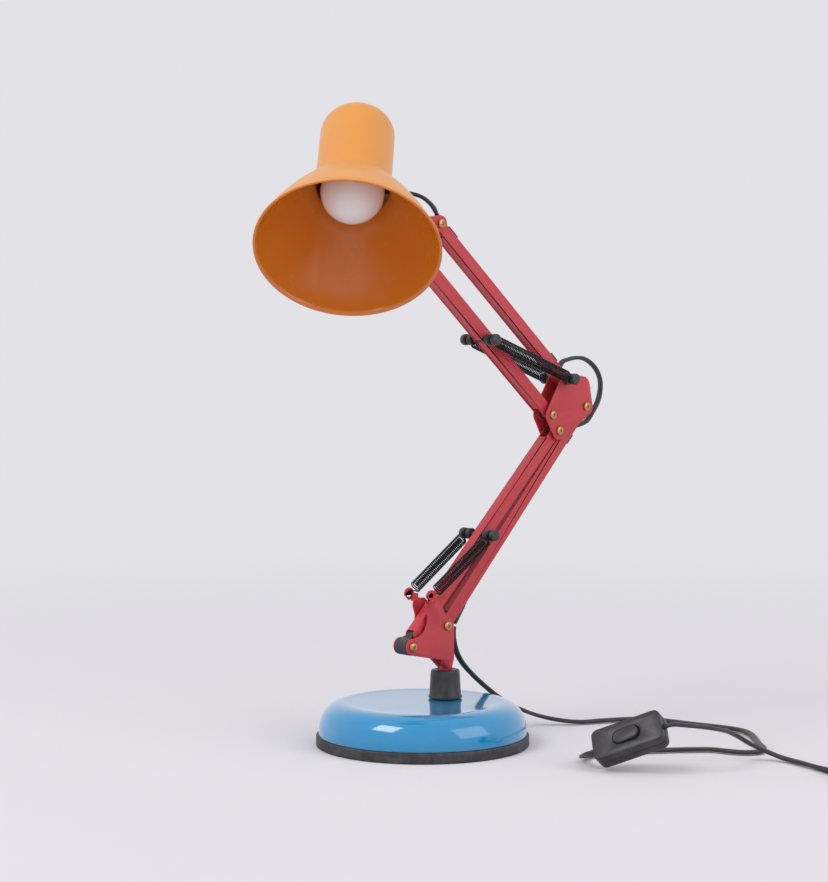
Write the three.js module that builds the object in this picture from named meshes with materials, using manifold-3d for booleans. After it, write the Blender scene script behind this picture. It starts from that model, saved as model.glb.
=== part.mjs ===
// Architect desk lamp: dished steel base, swivelling foot, two sprung arms, tilting bell shade.
// Units are millimetres. +Z is up and the arms lie in the XZ plane, with the elbow toward +X.
// The origin is the centre of the base's underside.

import * as THREE from 'three';
import { mergeVertices } from 'three/addons/utils/BufferGeometryUtils.js';
import Module from 'manifold-3d';

const wasm = await Module();
wasm.setup();

// ---------------------------------------------------------------- fits
const GAP = 0.3;             // between pieces that touch
const RUNNING = 0.35;        // radial, between a turning piece and its bore
const LOOSE_PIVOT = 1.0;     // radial, at the pivot where the lower linkage is opened

// ---------------------------------------------------------------- base
const BASE_R = 85;           // outside of the rubber ring
const RING_H = 8.5;
const RING_WALL = 6;
const SHELL_R = 83;          // widest part of the painted shell
const SHELL_TOP = 34.4;      // height of the plateau's rim
const PLATEAU_R = 62;
const DISH_DEPTH = 0.5;
const SHELL_WALL = 1.0;
const PAD_T = 2;
const WEIGHT_R = 70;
const WEIGHT_T = 12;
const STEM_X = 24.5;         // the swivel's place on the base

// ---------------------------------------------------------------- stem socket
const SOCKET_FOOT_R = 13.5;
const SOCKET_TOP_R = 11.5;
const SOCKET_TOP_Z = 57.5;
const SHANK_R = 9;
const NUT_R = 13;
const NUT_H = 5;

// ---------------------------------------------------------------- sheet metal and bars
const STEM_R = 5.7;
const STEM_WALL = 1.2;
const STEM_FOOT_Z = 12;
const PLATE_T = 1.2;
const BAR_W = 10;            // seen from the side
const BAR_D = 9.6;           // across the lamp
const BAR_T = 0.9;
const EAR_PLAY = 0.7;        // between a splayed ear and the plate beside it
const PLATE_IN = BAR_D / 2 + GAP + BAR_T + EAR_PLAY; // half the inside width between a bracket's plates
const PLATE_OUT = PLATE_IN + PLATE_T;
const WEB_CUT = 12;          // the web stops this far from a pivot
const EAR_SPLAY = 18;        // length of the splayed end that straddles another bar
const EAR_R = 5;
// How far each bar's middle lies from its pivots, toward its closed side, at its two ends.
const LEAN_LOWER_MAIN = [-1.55, -1.1];
const LEAN_LOWER_GUIDE = [0.2, 0.2];
const LEAN_UPPER_MAIN = [-2.75, -0.6];
const LEAN_UPPER_GUIDE = [-1.4, 2.2];

// ---------------------------------------------------------------- pivots, as X and Z
const FOOT_MAIN = [19.5, 93.7];
const FOOT_GUIDE = [-17.6, 80.0];
const ELBOW_MAIN = [179.7, 265.9];
const ELBOW_UPPER = [139.1, 259.7];
const ELBOW_LOWER = [147.1, 246.5];
const HEAD_MAIN = [12.6, 413.9];
const HEAD_GUIDE = [
  ELBOW_UPPER[0] + HEAD_MAIN[0] - ELBOW_MAIN[0],
  ELBOW_UPPER[1] + HEAD_MAIN[1] - ELBOW_MAIN[1],
];
const SHANK = 1.7;           // radius of a pivot screw
const SLEEVE_R = 2.7;
const HEAD_R = 3.6;
const HEAD_T = 2.0;
const NUT_FLAT = 3.2;
const NUT_T = 2.6;

// Outline of a foot plate, up from its tapered foot to the root of its spring hook.
const FOOT_PLATE_Z = 67;
const FOOT_FOLD_X = STEM_X + 2.5;
const TONGUE_Z = SOCKET_TOP_Z + 1;
const FOOT_PLATE = [
  [-17.6, 73.2], [4.6, 68.6], [12.5, FOOT_PLATE_Z], [FOOT_FOLD_X, FOOT_PLATE_Z], [27.2, 91],
  [26.4, 95.2], [23.5, 98.8], [19.5, 100.4], [12, 113], [8.5, 116], [1, 116.6], [-3.6, 114.6],
  [-4.2, 110.5], [-1.8, 103], [-2, 97.5], [-5.3, 91.1], [-11, 87.6], [-15.5, 86.6],
];

// ---------------------------------------------------------------- springs and their pins
const LOWER_PIN = [62, 164];
const UPPER_PIN = [63.3, 322.3];
const ELBOW_STUD = [155.5, 289.5];
const HOOK = [-3, 119.5];
const HOOK_Y = 13;
const SPRING_Y = 14;
const SPRING_R = 5;
const PIN_R = 2;
const PIN_CAP_R = 4.6;
const PIN_CAP_LEN = 12;
const PIN_GROOVE_R = 3.2;
const PIN_GROOVE = 3.2;      // width of the groove that holds a spring's loop
const HOOK_R = 5;
const HOOK_WALL = 2.4;

// ---------------------------------------------------------------- head
const TILT = [-32.5, 425.7];         // the shade's tilt bolt
const MOUNT_DIR = [0.829, -0.559];   // from the shade's axis to the tilt bolt
const SWIVEL = 28.7 * Math.PI / 180; // the shade's turn out of the arm plane
const MOUNT_RADIUS = 46;             // shade axis to tilt bolt
const MOUNT_S = 86;                  // along the shade, from its rim
const RIM_R = 69;
const RIM_BEAD = 1.3;
const CREASE_S = 66;
const CAP_R = 29;
const CAP_END_S = 125;
const DOME_H = 22.5;
const SHADE_WALL = 1.0;
const EYE_R = 6.4;
const NECK_R = 4.6;
const BULB_R = 24.5;
const BULB_S = 62;
const HOLDER_R = 18;
const HOLDER_WALL = 3.4;
const HOLDER_MOUTH_S = 92;
const HOLDER_LEN = 30;
const BULB_CAP_R = 13.2;
const STRAP_T = 1.5;
const STRAP_W = 14;
const GLAND_S = 118;
const GLAND_ANGLE = 38 * Math.PI / 180;
const GLAND_R = 4.5;

// ---------------------------------------------------------------- cord and its fittings
const CORD_R = 2.1;
const SWITCH_L = 56;
const SWITCH_W = 26;
const SWITCH_H = 15;
const SWITCH_CORNER = [27.8, -169.6, 0.5];
const SWITCH_YAW = -61.8 * Math.PI / 180;
const SWITCH_PITCH = 22 * Math.PI / 180;
const SWITCH_ROLL = 50.9 * Math.PI / 180;
const ROCKER_L = 21;
const ROCKER_W = 10.5;
const COIL_AT = [162, -338];
const COIL_MID_R = 30;
const COIL_HALF_W = 9;
const COIL_H = 11.5;
const TIE_T = 1;
const TIE_W = 6;
const TIE_TURN = 217 * Math.PI / 180;
const PLUG_TURN = 37 * Math.PI / 180;
const PLUG_BODY = [36, 35, 13.7];    // length, width, thickness
const PLUG_RELIEF = 12;
const PLUG_PIN_R = 2;
const PLUG_PIN_LEN = 19;
const PLUG_PIN_SPAN = 18.6;

// ================================================================ materials
const paint = (color, roughness, metalness = 0) =>
  new THREE.MeshStandardMaterial({ color, roughness, metalness });
const redPaint = () => paint(0xc83e46, 0.5);
const bluePaint = () => paint(0x0092c8, 0.18);
const orangePaint = () => paint(0xe09a3c, 0.42);
const blackPlastic = () => paint(0x2b2a2d, 0.5);
const softBlack = () => paint(0x232225, 0.6);
const yellowZinc = () => paint(0xc8a868, 0.35, 0.9);
const springSteel = () => paint(0x1c1c1e, 0.4, 0.7);
const castIron = () => paint(0x4a4a4c, 0.8, 0.6);
const plainSteel = () => paint(0x9a9a9c, 0.4, 0.9);

// ================================================================ solids
const lamp = new THREE.Group();
lamp.name = 'architect_desk_lamp';

// Turns a closed three.js geometry into a solid for joining and cutting.
function solidOf(geometry) {
  const plain = geometry.index ? geometry.toNonIndexed() : geometry.clone();
  plain.deleteAttribute('normal');
  plain.deleteAttribute('uv');
  const merged = mergeVertices(plain, 1e-4);
  return new wasm.Manifold(new wasm.Mesh({
    numProp: 3,
    vertProperties: new Float32Array(merged.attributes.position.array),
    triVerts: new Uint32Array(merged.index.array),
  }));
}

// Turns a solid back into a three.js geometry.
function geometryOf(solid) {
  const mesh = solid.getMesh();
  const geometry = new THREE.BufferGeometry();
  geometry.setAttribute('position', new THREE.BufferAttribute(new Float32Array(mesh.vertProperties), 3));
  geometry.setIndex(new THREE.BufferAttribute(new Uint32Array(mesh.triVerts), 1));
  geometry.computeVertexNormals();
  return geometry;
}

// Adds a named piece to the lamp.
function addPiece(name, solid, material) {
  const mesh = new THREE.Mesh(geometryOf(solid), material);
  mesh.name = name;
  lamp.add(mesh);
}

const joinAll = (solids) => solids.reduce((whole, next) => whole.add(next));
const place = (solid, matrix) => solidOf(geometryOf(solid).applyMatrix4(matrix));

// A block between two values on each axis.
function block(x0, x1, y0, y1, z0, z1) {
  const geometry = new THREE.BoxGeometry(x1 - x0, y1 - y0, z1 - z0);
  geometry.translate((x0 + x1) / 2, (y0 + y1) / 2, (z0 + z1) / 2);
  return solidOf(geometry);
}

// A round post across the lamp, from y0 to y1, at a place in the XZ plane.
function crossPost([x, z], radius, y0, y1, sides = 16) {
  const geometry = new THREE.CylinderGeometry(radius, radius, y1 - y0, sides);
  geometry.translate(x, (y0 + y1) / 2, z);
  return solidOf(geometry);
}

// An upright post.
function uprightPost(x, y, radius, z0, z1, sides = 32) {
  const geometry = new THREE.CylinderGeometry(radius, radius, z1 - z0, sides);
  geometry.rotateX(Math.PI / 2);
  geometry.translate(x, y, (z0 + z1) / 2);
  return solidOf(geometry);
}

// A body of revolution about +Z from a closed loop of [radius, z], either way round.
function turned(profile, sides = 48) {
  let area = 0;
  profile.forEach(([r, z], i) => {
    const [nextR, nextZ] = profile[(i + 1) % profile.length];
    area += r * nextZ - nextR * z;
  });
  const loop = area > 0 ? [...profile] : [...profile].reverse();
  // A loop that touches the axis starts and ends there; any other closes on itself.
  const onAxis = loop.findIndex(([r], i) => r === 0 && loop[(i - 1 + loop.length) % loop.length][0] === 0);
  const points = onAxis >= 0 ? [...loop.slice(onAxis), ...loop.slice(0, onAxis)] : [...loop, loop[0]];
  const geometry = new THREE.LatheGeometry(points.map(([r, z]) => new THREE.Vector2(r, z)), sides);
  geometry.rotateX(Math.PI / 2);
  return solidOf(geometry);
}

// The convex outline around a set of circles, given as [[x, z], radius].
function outlineAround(circles, steps = 16) {
  const points = circles.flatMap(([[x, z], r]) => Array.from({ length: steps }, (_, i) => {
    const a = 2 * Math.PI * i / steps;
    return [x + r * Math.cos(a), z + r * Math.sin(a)];
  })).sort((a, b) => a[0] - b[0] || a[1] - b[1]);
  const cross = (o, a, b) => (a[0] - o[0]) * (b[1] - o[1]) - (a[1] - o[1]) * (b[0] - o[0]);
  const half = (list) => list.reduce((chain, p) => {
    while (chain.length > 1 && cross(chain.at(-2), chain.at(-1), p) <= 0) chain.pop();
    chain.push(p);
    return chain;
  }, []);
  const lower = half(points);
  const upper = half([...points].reverse());
  return [...lower.slice(0, -1), ...upper.slice(0, -1)];
}

// A flat plate with the outline around some circles, between y0 and y1.
function plateAround(circles, y0, y1, steps) {
  const shape = new THREE.Shape(outlineAround(circles, steps).map(([x, z]) => new THREE.Vector2(x, z)));
  const geometry = new THREE.ExtrudeGeometry(shape, { depth: y1 - y0, bevelEnabled: false });
  geometry.rotateX(Math.PI / 2);
  geometry.translate(0, y1, 0);
  return solidOf(geometry);
}

// A flat plate with an outline given as [x, z] points, between y0 and y1.
function plateOf(outline, y0, y1) {
  const shape = new THREE.Shape(outline.map(([x, z]) => new THREE.Vector2(x, z)));
  const geometry = new THREE.ExtrudeGeometry(shape, { depth: y1 - y0, bevelEnabled: false });
  geometry.rotateX(Math.PI / 2);
  geometry.translate(0, y1, 0);
  return solidOf(geometry);
}

// The pair of plates at both sides of a bracket.
const platePair = (circles, inside, thickness) =>
  [-1, 1].map((side) => (side < 0
    ? plateAround(circles, -inside - thickness, -inside)
    : plateAround(circles, inside, inside + thickness)));

// ================================================================ base
const shellProfile = () => {
  const outer = [[SHELL_R, RING_H + GAP]];
  const rise = SHELL_TOP - RING_H - 4;
  const steps = 5;
  for (let i = 0; i <= steps; i += 1) {
    const a = (Math.PI / 2) * i / steps;
    outer.push([
      PLATEAU_R + (SHELL_R - PLATEAU_R) * Math.cos(a) ** 0.85,
      RING_H + 4 + rise * Math.sin(a),
    ]);
  }
  outer.push([PLATEAU_R * 0.7, SHELL_TOP - DISH_DEPTH * 0.8], [0, SHELL_TOP - DISH_DEPTH]);
  const inner = outer.map(([r, z], i) => {
    if (i === 0) return [r - SHELL_WALL, z];
    if (r === 0) return [0, z - SHELL_WALL];
    const lean = Math.min(1, Math.max(0, (r - PLATEAU_R) / (SHELL_R - PLATEAU_R)));
    return [r - SHELL_WALL * lean, z - SHELL_WALL * (1 - lean * lean)];
  }).reverse();
  return [...outer, ...inner];
};

function addBase() {
  const shell = turned(shellProfile(), 44)
    .subtract(uprightPost(STEM_X, 0, SHANK_R + GAP, 0, SHELL_TOP + 5, 24));
  addPiece('base_shell', shell, bluePaint());

  const ringIn = BASE_R - RING_WALL;
  const ring = turned([
    [ringIn, 0], [BASE_R - 0.8, 0], [BASE_R, 0.8], [BASE_R, RING_H - 0.8], [BASE_R - 0.8, RING_H],
    [SHELL_R - 5, RING_H], [SHELL_R - 5, RING_H - 2], [ringIn, RING_H - 2],
  ], 44);
  addPiece('base_ring', ring, blackPlastic());

  addPiece('base_pad', uprightPost(0, 0, ringIn - GAP, 0, PAD_T, 44), softBlack());

  const weightZ = PAD_T + GAP + NUT_H + GAP;
  const weight = uprightPost(0, 0, WEIGHT_R, weightZ, weightZ + WEIGHT_T, 48)
    .subtract(uprightPost(STEM_X, 0, SHANK_R + GAP, 0, SHELL_TOP));
  addPiece('base_weight', weight, castIron());

  const bore = STEM_R + RUNNING;
  const top = SHELL_TOP + GAP;
  const nutTop = PAD_T + GAP + NUT_H;
  const socket = turned([
    [bore, nutTop - NUT_H + 0.5], [SHANK_R, nutTop - NUT_H + 0.5], [SHANK_R, top],
    [SOCKET_FOOT_R, top], [SOCKET_FOOT_R, top + 1.5],
    [SOCKET_TOP_R, SOCKET_TOP_Z - 1], [SOCKET_TOP_R - 1, SOCKET_TOP_Z], [bore, SOCKET_TOP_Z],
  ], 32).translate([STEM_X, 0, 0]);
  addPiece('stem_socket', socket, blackPlastic());

  const nut = uprightPost(STEM_X, 0, NUT_R, PAD_T + GAP, nutTop, 6)
    .subtract(uprightPost(STEM_X, 0, SHANK_R + GAP, 0, 20));
  addPiece('socket_nut', nut, plainSteel());
}

// ================================================================ pivots
// A pan-head screw across the lamp, with its nut, through a bracket of the given outside.
function pivotScrew(at, outside) {
  const head = place(turned([
    [0, 0], [HEAD_R, 0], [HEAD_R, HEAD_T * 0.5], [HEAD_R * 0.75, HEAD_T * 0.9], [0, HEAD_T],
  ], 14), new THREE.Matrix4().makeRotationX(Math.PI / 2))
    .translate([at[0], -outside - GAP, at[1]]);
  const slot = (w, h) => block(at[0] - w, at[0] + w, -outside - GAP - HEAD_T - 1,
    -outside - GAP - HEAD_T + 0.9, at[1] - h, at[1] + h);
  const shank = crossPost(at, SHANK, -outside - GAP - 0.2, outside + GAP + NUT_T, 12);
  const nut = crossPost(at, NUT_FLAT, outside + GAP, outside + GAP + NUT_T - 0.4, 6);
  return joinAll([head, shank, nut]).subtract(slot(2.1, 0.45)).subtract(slot(0.45, 2.1));
}

// The plastic sleeve that a bar turns on.
const pivotSleeve = (at, inside, radius = SLEEVE_R) =>
  crossPost(at, radius, -inside + GAP, inside - GAP, 16)
    .subtract(crossPost(at, SHANK + GAP, -inside, inside, 12));

// Cuts a screw hole through a bracket.
const screwHole = (at) => crossPost(at, SHANK + GAP, -30, 30, 12);

// ================================================================ foot
// An open ring of strip that a spring's wire hooks round, joined to its plate by a shelf.
function springHook(side) {
  const ring = crossPost(HOOK, HOOK_R, HOOK_Y - PLATE_T / 2, HOOK_Y + PLATE_T / 2, 24)
    .subtract(crossPost(HOOK, HOOK_R - HOOK_WALL, 0, 30, 16))
    .subtract(block(HOOK[0] - 9, HOOK[0] - 1.2, 0, 30, HOOK[1] - 6, HOOK[1] - 1.4));
  const shelf = block(HOOK[0] + HOOK_R - HOOK_WALL, HOOK[0] + HOOK_R - 0.3,
    PLATE_IN + 0.2, HOOK_Y + PLATE_T / 2, HOOK[1] - 6, HOOK[1] + 0.5);
  const hook = ring.add(shelf);
  return side > 0 ? hook : hook.mirror([0, 1, 0]);
}

// The two faces of a bracket's plate on one side.
const sidePlate = (side) => (side < 0 ? [-PLATE_OUT, -PLATE_IN] : [PLATE_IN, PLATE_OUT]);

// One side of the sheet where it closes from a flat plate round into the stem.
function stemTongue(side) {
  const flat = [FOOT_FOLD_X - 13, FOOT_FOLD_X].flatMap((x) => sidePlate(side).flatMap(
    (y) => [FOOT_PLATE_Z, FOOT_PLATE_Z + 2].map((z) => [x, y, z])));
  const rolled = [-1.1, -0.4, 0.4, 1.1].flatMap((a) => [STEM_R, STEM_R - STEM_WALL].flatMap(
    (r) => [TONGUE_Z, TONGUE_Z + 2].map(
      (z) => [STEM_X + r * Math.sin(a), side * r * Math.cos(a), z])));
  return wasm.Manifold.hull([...flat, ...rolled]);
}

function addFoot() {
  const ears = platePair([[FOOT_GUIDE, 6.8]], PLATE_IN, PLATE_T)
    .concat(platePair([[FOOT_MAIN, 6.9]], PLATE_IN, PLATE_T));
  const plates = [-1, 1].map((side) => plateOf(FOOT_PLATE, ...sidePlate(side)));
  // The sheet's fold behind the pivots, which also stops the main bar.
  const fold = block(FOOT_FOLD_X - PLATE_T, FOOT_FOLD_X, -PLATE_OUT, PLATE_OUT, FOOT_PLATE_Z, 82);
  const stem = uprightPost(STEM_X, 0, STEM_R, STEM_FOOT_Z, TONGUE_Z + 2, 24);
  const bore = uprightPost(STEM_X, 0, STEM_R - STEM_WALL, STEM_FOOT_Z - 1, TONGUE_Z + 3, 16);
  const whole = joinAll([
    ...plates, ...ears, fold, stem.subtract(bore), ...[-1, 1].map(stemTongue), springHook(1), springHook(-1),
  ])
    .subtract(screwHole(FOOT_MAIN))
    .subtract(screwHole(FOOT_GUIDE));
  addPiece('foot_bracket', whole, redPaint());
  addPiece('foot_screw_main', pivotScrew(FOOT_MAIN, PLATE_OUT), yellowZinc());
  addPiece('foot_screw_guide', pivotScrew(FOOT_GUIDE, PLATE_OUT), yellowZinc());
  addPiece('foot_sleeve_main', pivotSleeve(FOOT_MAIN, PLATE_IN), blackPlastic());
}

// ================================================================ bars
// The frame of a bar: x runs along it from the first pivot, z to its closed side.
function barFrame(from, to) {
  const angle = Math.atan2(to[1] - from[1], to[0] - from[0]);
  return new THREE.Matrix4().makeTranslation(from[0], 0, from[1])
    .multiply(new THREE.Matrix4().makeRotationY(-angle));
}
const spanOf = (from, to) => Math.hypot(to[0] - from[0], to[1] - from[1]);

// A place in the XZ plane from a distance along a bar and an offset to its closed side.
function onBar(from, to, along, offset) {
  const span = spanOf(from, to);
  const [dx, dz] = [(to[0] - from[0]) / span, (to[1] - from[1]) / span];
  return [from[0] + dx * along - dz * offset, from[1] + dz * along + dx * offset];
}

// A folded channel between two pivots: two flanges with round ears and a web on the closed side.
function channelBar(from, to, { lean, startBore, endBore, startCut = 0, splayed = false }) {
  const span = spanOf(from, to);
  const half = BAR_D / 2;
  const leanAt = (along) => lean[0] + (lean[1] - lean[0]) * along / span;
  const middle = (along, offset = 0) => onBar(from, to, along, leanAt(along) + offset);
  const round = BAR_W / 2;
  const nearEnd = 10;
  const sideAt = (y0, y1, first) => plateAround(
    [...first, [middle(span - nearEnd), round], [to, EAR_R]], y0, y1, 12);
  const earStart = [[from, EAR_R], [middle(nearEnd), round]];
  const cutStart = [[middle(startCut + round), round]];
  const splayEnd = EAR_SPLAY - BAR_T;
  const splayStart = [[middle(splayEnd + round), round]];
  const first = splayed ? splayStart : (startCut ? cutStart : earStart);
  const webStart = Math.max(WEB_CUT, startCut + round, splayed ? splayEnd + round : 0);
  const webLine = barFrame(middle(0), middle(span));
  const parts = [
    sideAt(-half, -half + BAR_T, first),
    sideAt(half - BAR_T, half, first),
    place(block(webStart, span - WEB_CUT, -half, half, round - BAR_T, round), webLine),
  ];
  if (splayed) {
    const inside = half + GAP;
    const lap = splayEnd + round;
    [-1, 1].forEach((side) => {
      const [y0, y1] = side < 0 ? [-inside - BAR_T, -inside] : [inside, inside + BAR_T];
      const [j0, j1] = side < 0 ? [-inside - BAR_T, -half + BAR_T] : [half - BAR_T, inside + BAR_T];
      parts.push(
        plateAround([[from, EAR_R], [middle(lap), round]], y0, y1, 12),
        place(block(lap, lap + BAR_T, j0, j1, -round + 0.6, round - 0.6), webLine),
      );
    });
  }
  let bar = joinAll(parts).subtract(crossPost(to, endBore, -30, 30, 14));
  if (!startCut) bar = bar.subtract(crossPost(from, startBore, -30, 30, 14));
  return bar;
}

// A rod across a bar with a grooved cap at each end for a pair of springs.
function springPin(at) {
  const tip = SPRING_Y + PIN_CAP_LEN / 2;
  const capStart = tip - PIN_CAP_LEN;
  const groove0 = SPRING_Y - PIN_GROOVE / 2;
  const groove1 = SPRING_Y + PIN_GROOVE / 2;
  const cap = [
    [0, capStart], [PIN_CAP_R, capStart], [PIN_CAP_R, groove0], [PIN_GROOVE_R, groove0 + 0.4],
    [PIN_GROOVE_R, groove1 - 0.4], [PIN_CAP_R, groove1], [PIN_CAP_R, tip - 0.8], [PIN_CAP_R - 0.8, tip], [0, tip],
  ];
  const one = turned(cap, 14);
  const front = place(one, new THREE.Matrix4().makeRotationX(Math.PI / 2));
  const back = place(one, new THREE.Matrix4().makeRotationX(-Math.PI / 2));
  return joinAll([front, back, crossPost([0, 0], PIN_R, -capStart - 1, capStart + 1, 12)])
    .translate([at[0], 0, at[1]]);
}

// A grooved stud on the outside of one elbow plate.
function springStud(at, side) {
  const foot = PLATE_OUT + GAP;
  const tip = SPRING_Y + PIN_CAP_LEN / 2;
  const groove0 = SPRING_Y - PIN_GROOVE / 2;
  const groove1 = SPRING_Y + PIN_GROOVE / 2;
  const stud = turned([
    [0, foot], [PIN_CAP_R, foot], [PIN_CAP_R, groove0], [PIN_GROOVE_R, groove0 + 0.4],
    [PIN_GROOVE_R, groove1 - 0.4], [PIN_CAP_R, groove1], [PIN_CAP_R, tip - 0.8], [PIN_CAP_R - 0.8, tip], [0, tip],
  ], 14);
  return place(stud, new THREE.Matrix4().makeRotationX(side < 0 ? Math.PI / 2 : -Math.PI / 2))
    .translate([at[0], 0, at[1]]);
}

// The outer shape of a coil spring between two places, clear of what it hooks on.
function springBody(from, to, clearFrom, clearTo, yFrom, yTo) {
  const a = new THREE.Vector3(from[0], yFrom, from[1]);
  const b = new THREE.Vector3(to[0], yTo, to[1]);
  const dir = b.clone().sub(a).normalize();
  const length = a.distanceTo(b) - clearFrom - clearTo;
  const geometry = new THREE.CylinderGeometry(SPRING_R, SPRING_R, length, 16);
  geometry.translate(0, length / 2, 0);
  const turn = new THREE.Quaternion().setFromUnitVectors(new THREE.Vector3(0, 1, 0), dir);
  geometry.applyMatrix4(new THREE.Matrix4().compose(
    a.clone().addScaledVector(dir, clearFrom), turn, new THREE.Vector3(1, 1, 1)));
  return solidOf(geometry);
}

function addLowerArm() {
  const bore = SLEEVE_R + RUNNING;
  const main = channelBar(FOOT_MAIN, ELBOW_MAIN, { lean: LEAN_LOWER_MAIN, startBore: bore, endBore: bore });
  addPiece('lower_bar_main', main, redPaint());

  const bushR = 6.9;
  const cut = bushR + GAP;
  const guide = channelBar(FOOT_GUIDE, ELBOW_LOWER, {
    lean: LEAN_LOWER_GUIDE, startCut: cut, endBore: SLEEVE_R + LOOSE_PIVOT,
  });
  const holed = guide.subtract(crossPost(LOWER_PIN, PIN_R + GAP, -30, 30, 12));
  addPiece('lower_bar_guide', holed, redPaint());

  // The plastic end that carries the guide bar on its foot pivot.
  const side = PLATE_IN - GAP;
  const tongueY = BAR_D / 2 - BAR_T - GAP;
  const bush = joinAll([
    crossPost([0, 0], bushR, -side, side, 24),
    block(0, cut + 14, -tongueY, tongueY, -BAR_W / 2 + 1, BAR_W / 2 - BAR_T - GAP),
  ]).subtract(crossPost([0, 0], SHANK + RUNNING, -30, 30, 16));
  addPiece('lower_bar_bush', place(bush, barFrame(FOOT_GUIDE, ELBOW_LOWER)), blackPlastic());

  addPiece('lower_spring_pin', springPin(LOWER_PIN), blackPlastic());
  const clearHook = 8;
  const clearPin = PIN_CAP_R + 2;
  [['front', -1], ['back', 1]].forEach(([name, side2]) => addPiece(`lower_spring_${name}`,
    springBody(HOOK, LOWER_PIN, clearHook, clearPin, side2 * HOOK_Y, side2 * SPRING_Y), springSteel()));
}

// ================================================================ elbow
function addElbow() {
  const circles = [
    [ELBOW_MAIN, 8], [ELBOW_UPPER, 7.5], [ELBOW_LOWER, 8], [ELBOW_STUD, 5.5], [[176, 283.5], 8],
  ];
  const holes = (plate) => [ELBOW_MAIN, ELBOW_UPPER, ELBOW_LOWER]
    .reduce((left, at) => left.subtract(screwHole(at)), plate);
  const [front, back] = platePair(circles, PLATE_IN, PLATE_T);
  addPiece('elbow_plate_front', holes(front), redPaint());
  addPiece('elbow_plate_back', holes(back), redPaint());
  [['main', ELBOW_MAIN], ['upper', ELBOW_UPPER], ['lower', ELBOW_LOWER]].forEach(([name, at]) => {
    addPiece(`elbow_screw_${name}`, pivotScrew(at, PLATE_OUT), yellowZinc());
    addPiece(`elbow_sleeve_${name}`, pivotSleeve(at, PLATE_IN), blackPlastic());
  });
  addPiece('elbow_stud_front', springStud(ELBOW_STUD, -1), blackPlastic());
  addPiece('elbow_stud_back', springStud(ELBOW_STUD, 1), blackPlastic());
}

function addUpperArm() {
  const bore = SLEEVE_R + RUNNING;
  const main = channelBar(ELBOW_MAIN, HEAD_MAIN, {
    lean: LEAN_UPPER_MAIN, splayed: true, startBore: bore, endBore: bore,
  });
  addPiece('upper_bar_main', main, redPaint());
  const guide = channelBar(ELBOW_UPPER, HEAD_GUIDE, {
    lean: LEAN_UPPER_GUIDE, startBore: bore, endBore: SLEEVE_R + LOOSE_PIVOT,
  });
  const holed = guide.subtract(crossPost(UPPER_PIN, PIN_R + GAP, -30, 30, 12));
  addPiece('upper_bar_guide', holed, redPaint());
  addPiece('upper_spring_pin', springPin(UPPER_PIN), blackPlastic());
  const clear = PIN_CAP_R + 2;
  [['front', -1], ['back', 1]].forEach(([name, side]) => addPiece(`upper_spring_${name}`,
    springBody(UPPER_PIN, ELBOW_STUD, clear, clear, side * SPRING_Y, side * SPRING_Y), springSteel()));
}

// ================================================================ head
// The shade's frame: z runs from the rim to the cap, x points from its axis to the tilt bolt.
function shadeFrame() {
  const toBolt = new THREE.Vector3(MOUNT_DIR[0], 0, MOUNT_DIR[1]).normalize();
  const upInPlane = new THREE.Vector3(-toBolt.z, 0, toBolt.x);
  const axis = upInPlane.multiplyScalar(Math.cos(SWIVEL)).add(new THREE.Vector3(0, Math.sin(SWIVEL), 0));
  const side = axis.clone().cross(toBolt);
  const origin = new THREE.Vector3(TILT[0], 0, TILT[1])
    .addScaledVector(toBolt, -MOUNT_RADIUS).addScaledVector(axis, -MOUNT_S);
  return new THREE.Matrix4().makeBasis(toBolt, side, axis).setPosition(origin);
}

// Radius of the shade's outside at a distance from its rim.
function shadeRadius(s) {
  if (s >= CREASE_S) return CAP_R;
  const t = s / CREASE_S;
  return CAP_R + (RIM_R - CAP_R) * (1 - t ** 1.25) ** 0.93;
}

function shadeProfile() {
  const bellSteps = 7;
  const outer = [];
  for (let i = 0; i <= bellSteps; i += 1) {
    const s = CREASE_S * i / bellSteps;
    outer.push([shadeRadius(s), s]);
  }
  const domeSteps = 4;
  for (let i = 0; i <= domeSteps; i += 1) {
    const a = (Math.PI / 2) * i / domeSteps;
    outer.push([i === domeSteps ? 0 : CAP_R * Math.cos(a), CAP_END_S + DOME_H * Math.sin(a)]);
  }
  const inner = outer.map(([r, s], i) => {
    if (i === 0) return [r - SHADE_WALL, s];
    if (s > CAP_END_S) {
      const k = 1 - SHADE_WALL / CAP_R;
      return [r * k, CAP_END_S + (s - CAP_END_S) * (1 - SHADE_WALL / DOME_H)];
    }
    return [r - SHADE_WALL * (s < CREASE_S ? 1.25 : 1), s];
  }).reverse();
  const bead = [
    [RIM_R - SHADE_WALL, -0.4], [RIM_R - 0.2, -RIM_BEAD], [RIM_R + RIM_BEAD * 0.7, -0.4],
    [RIM_R + RIM_BEAD * 0.6, RIM_BEAD],
  ];
  return [...outer.slice(1), ...inner, ...bead];
}

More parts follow.
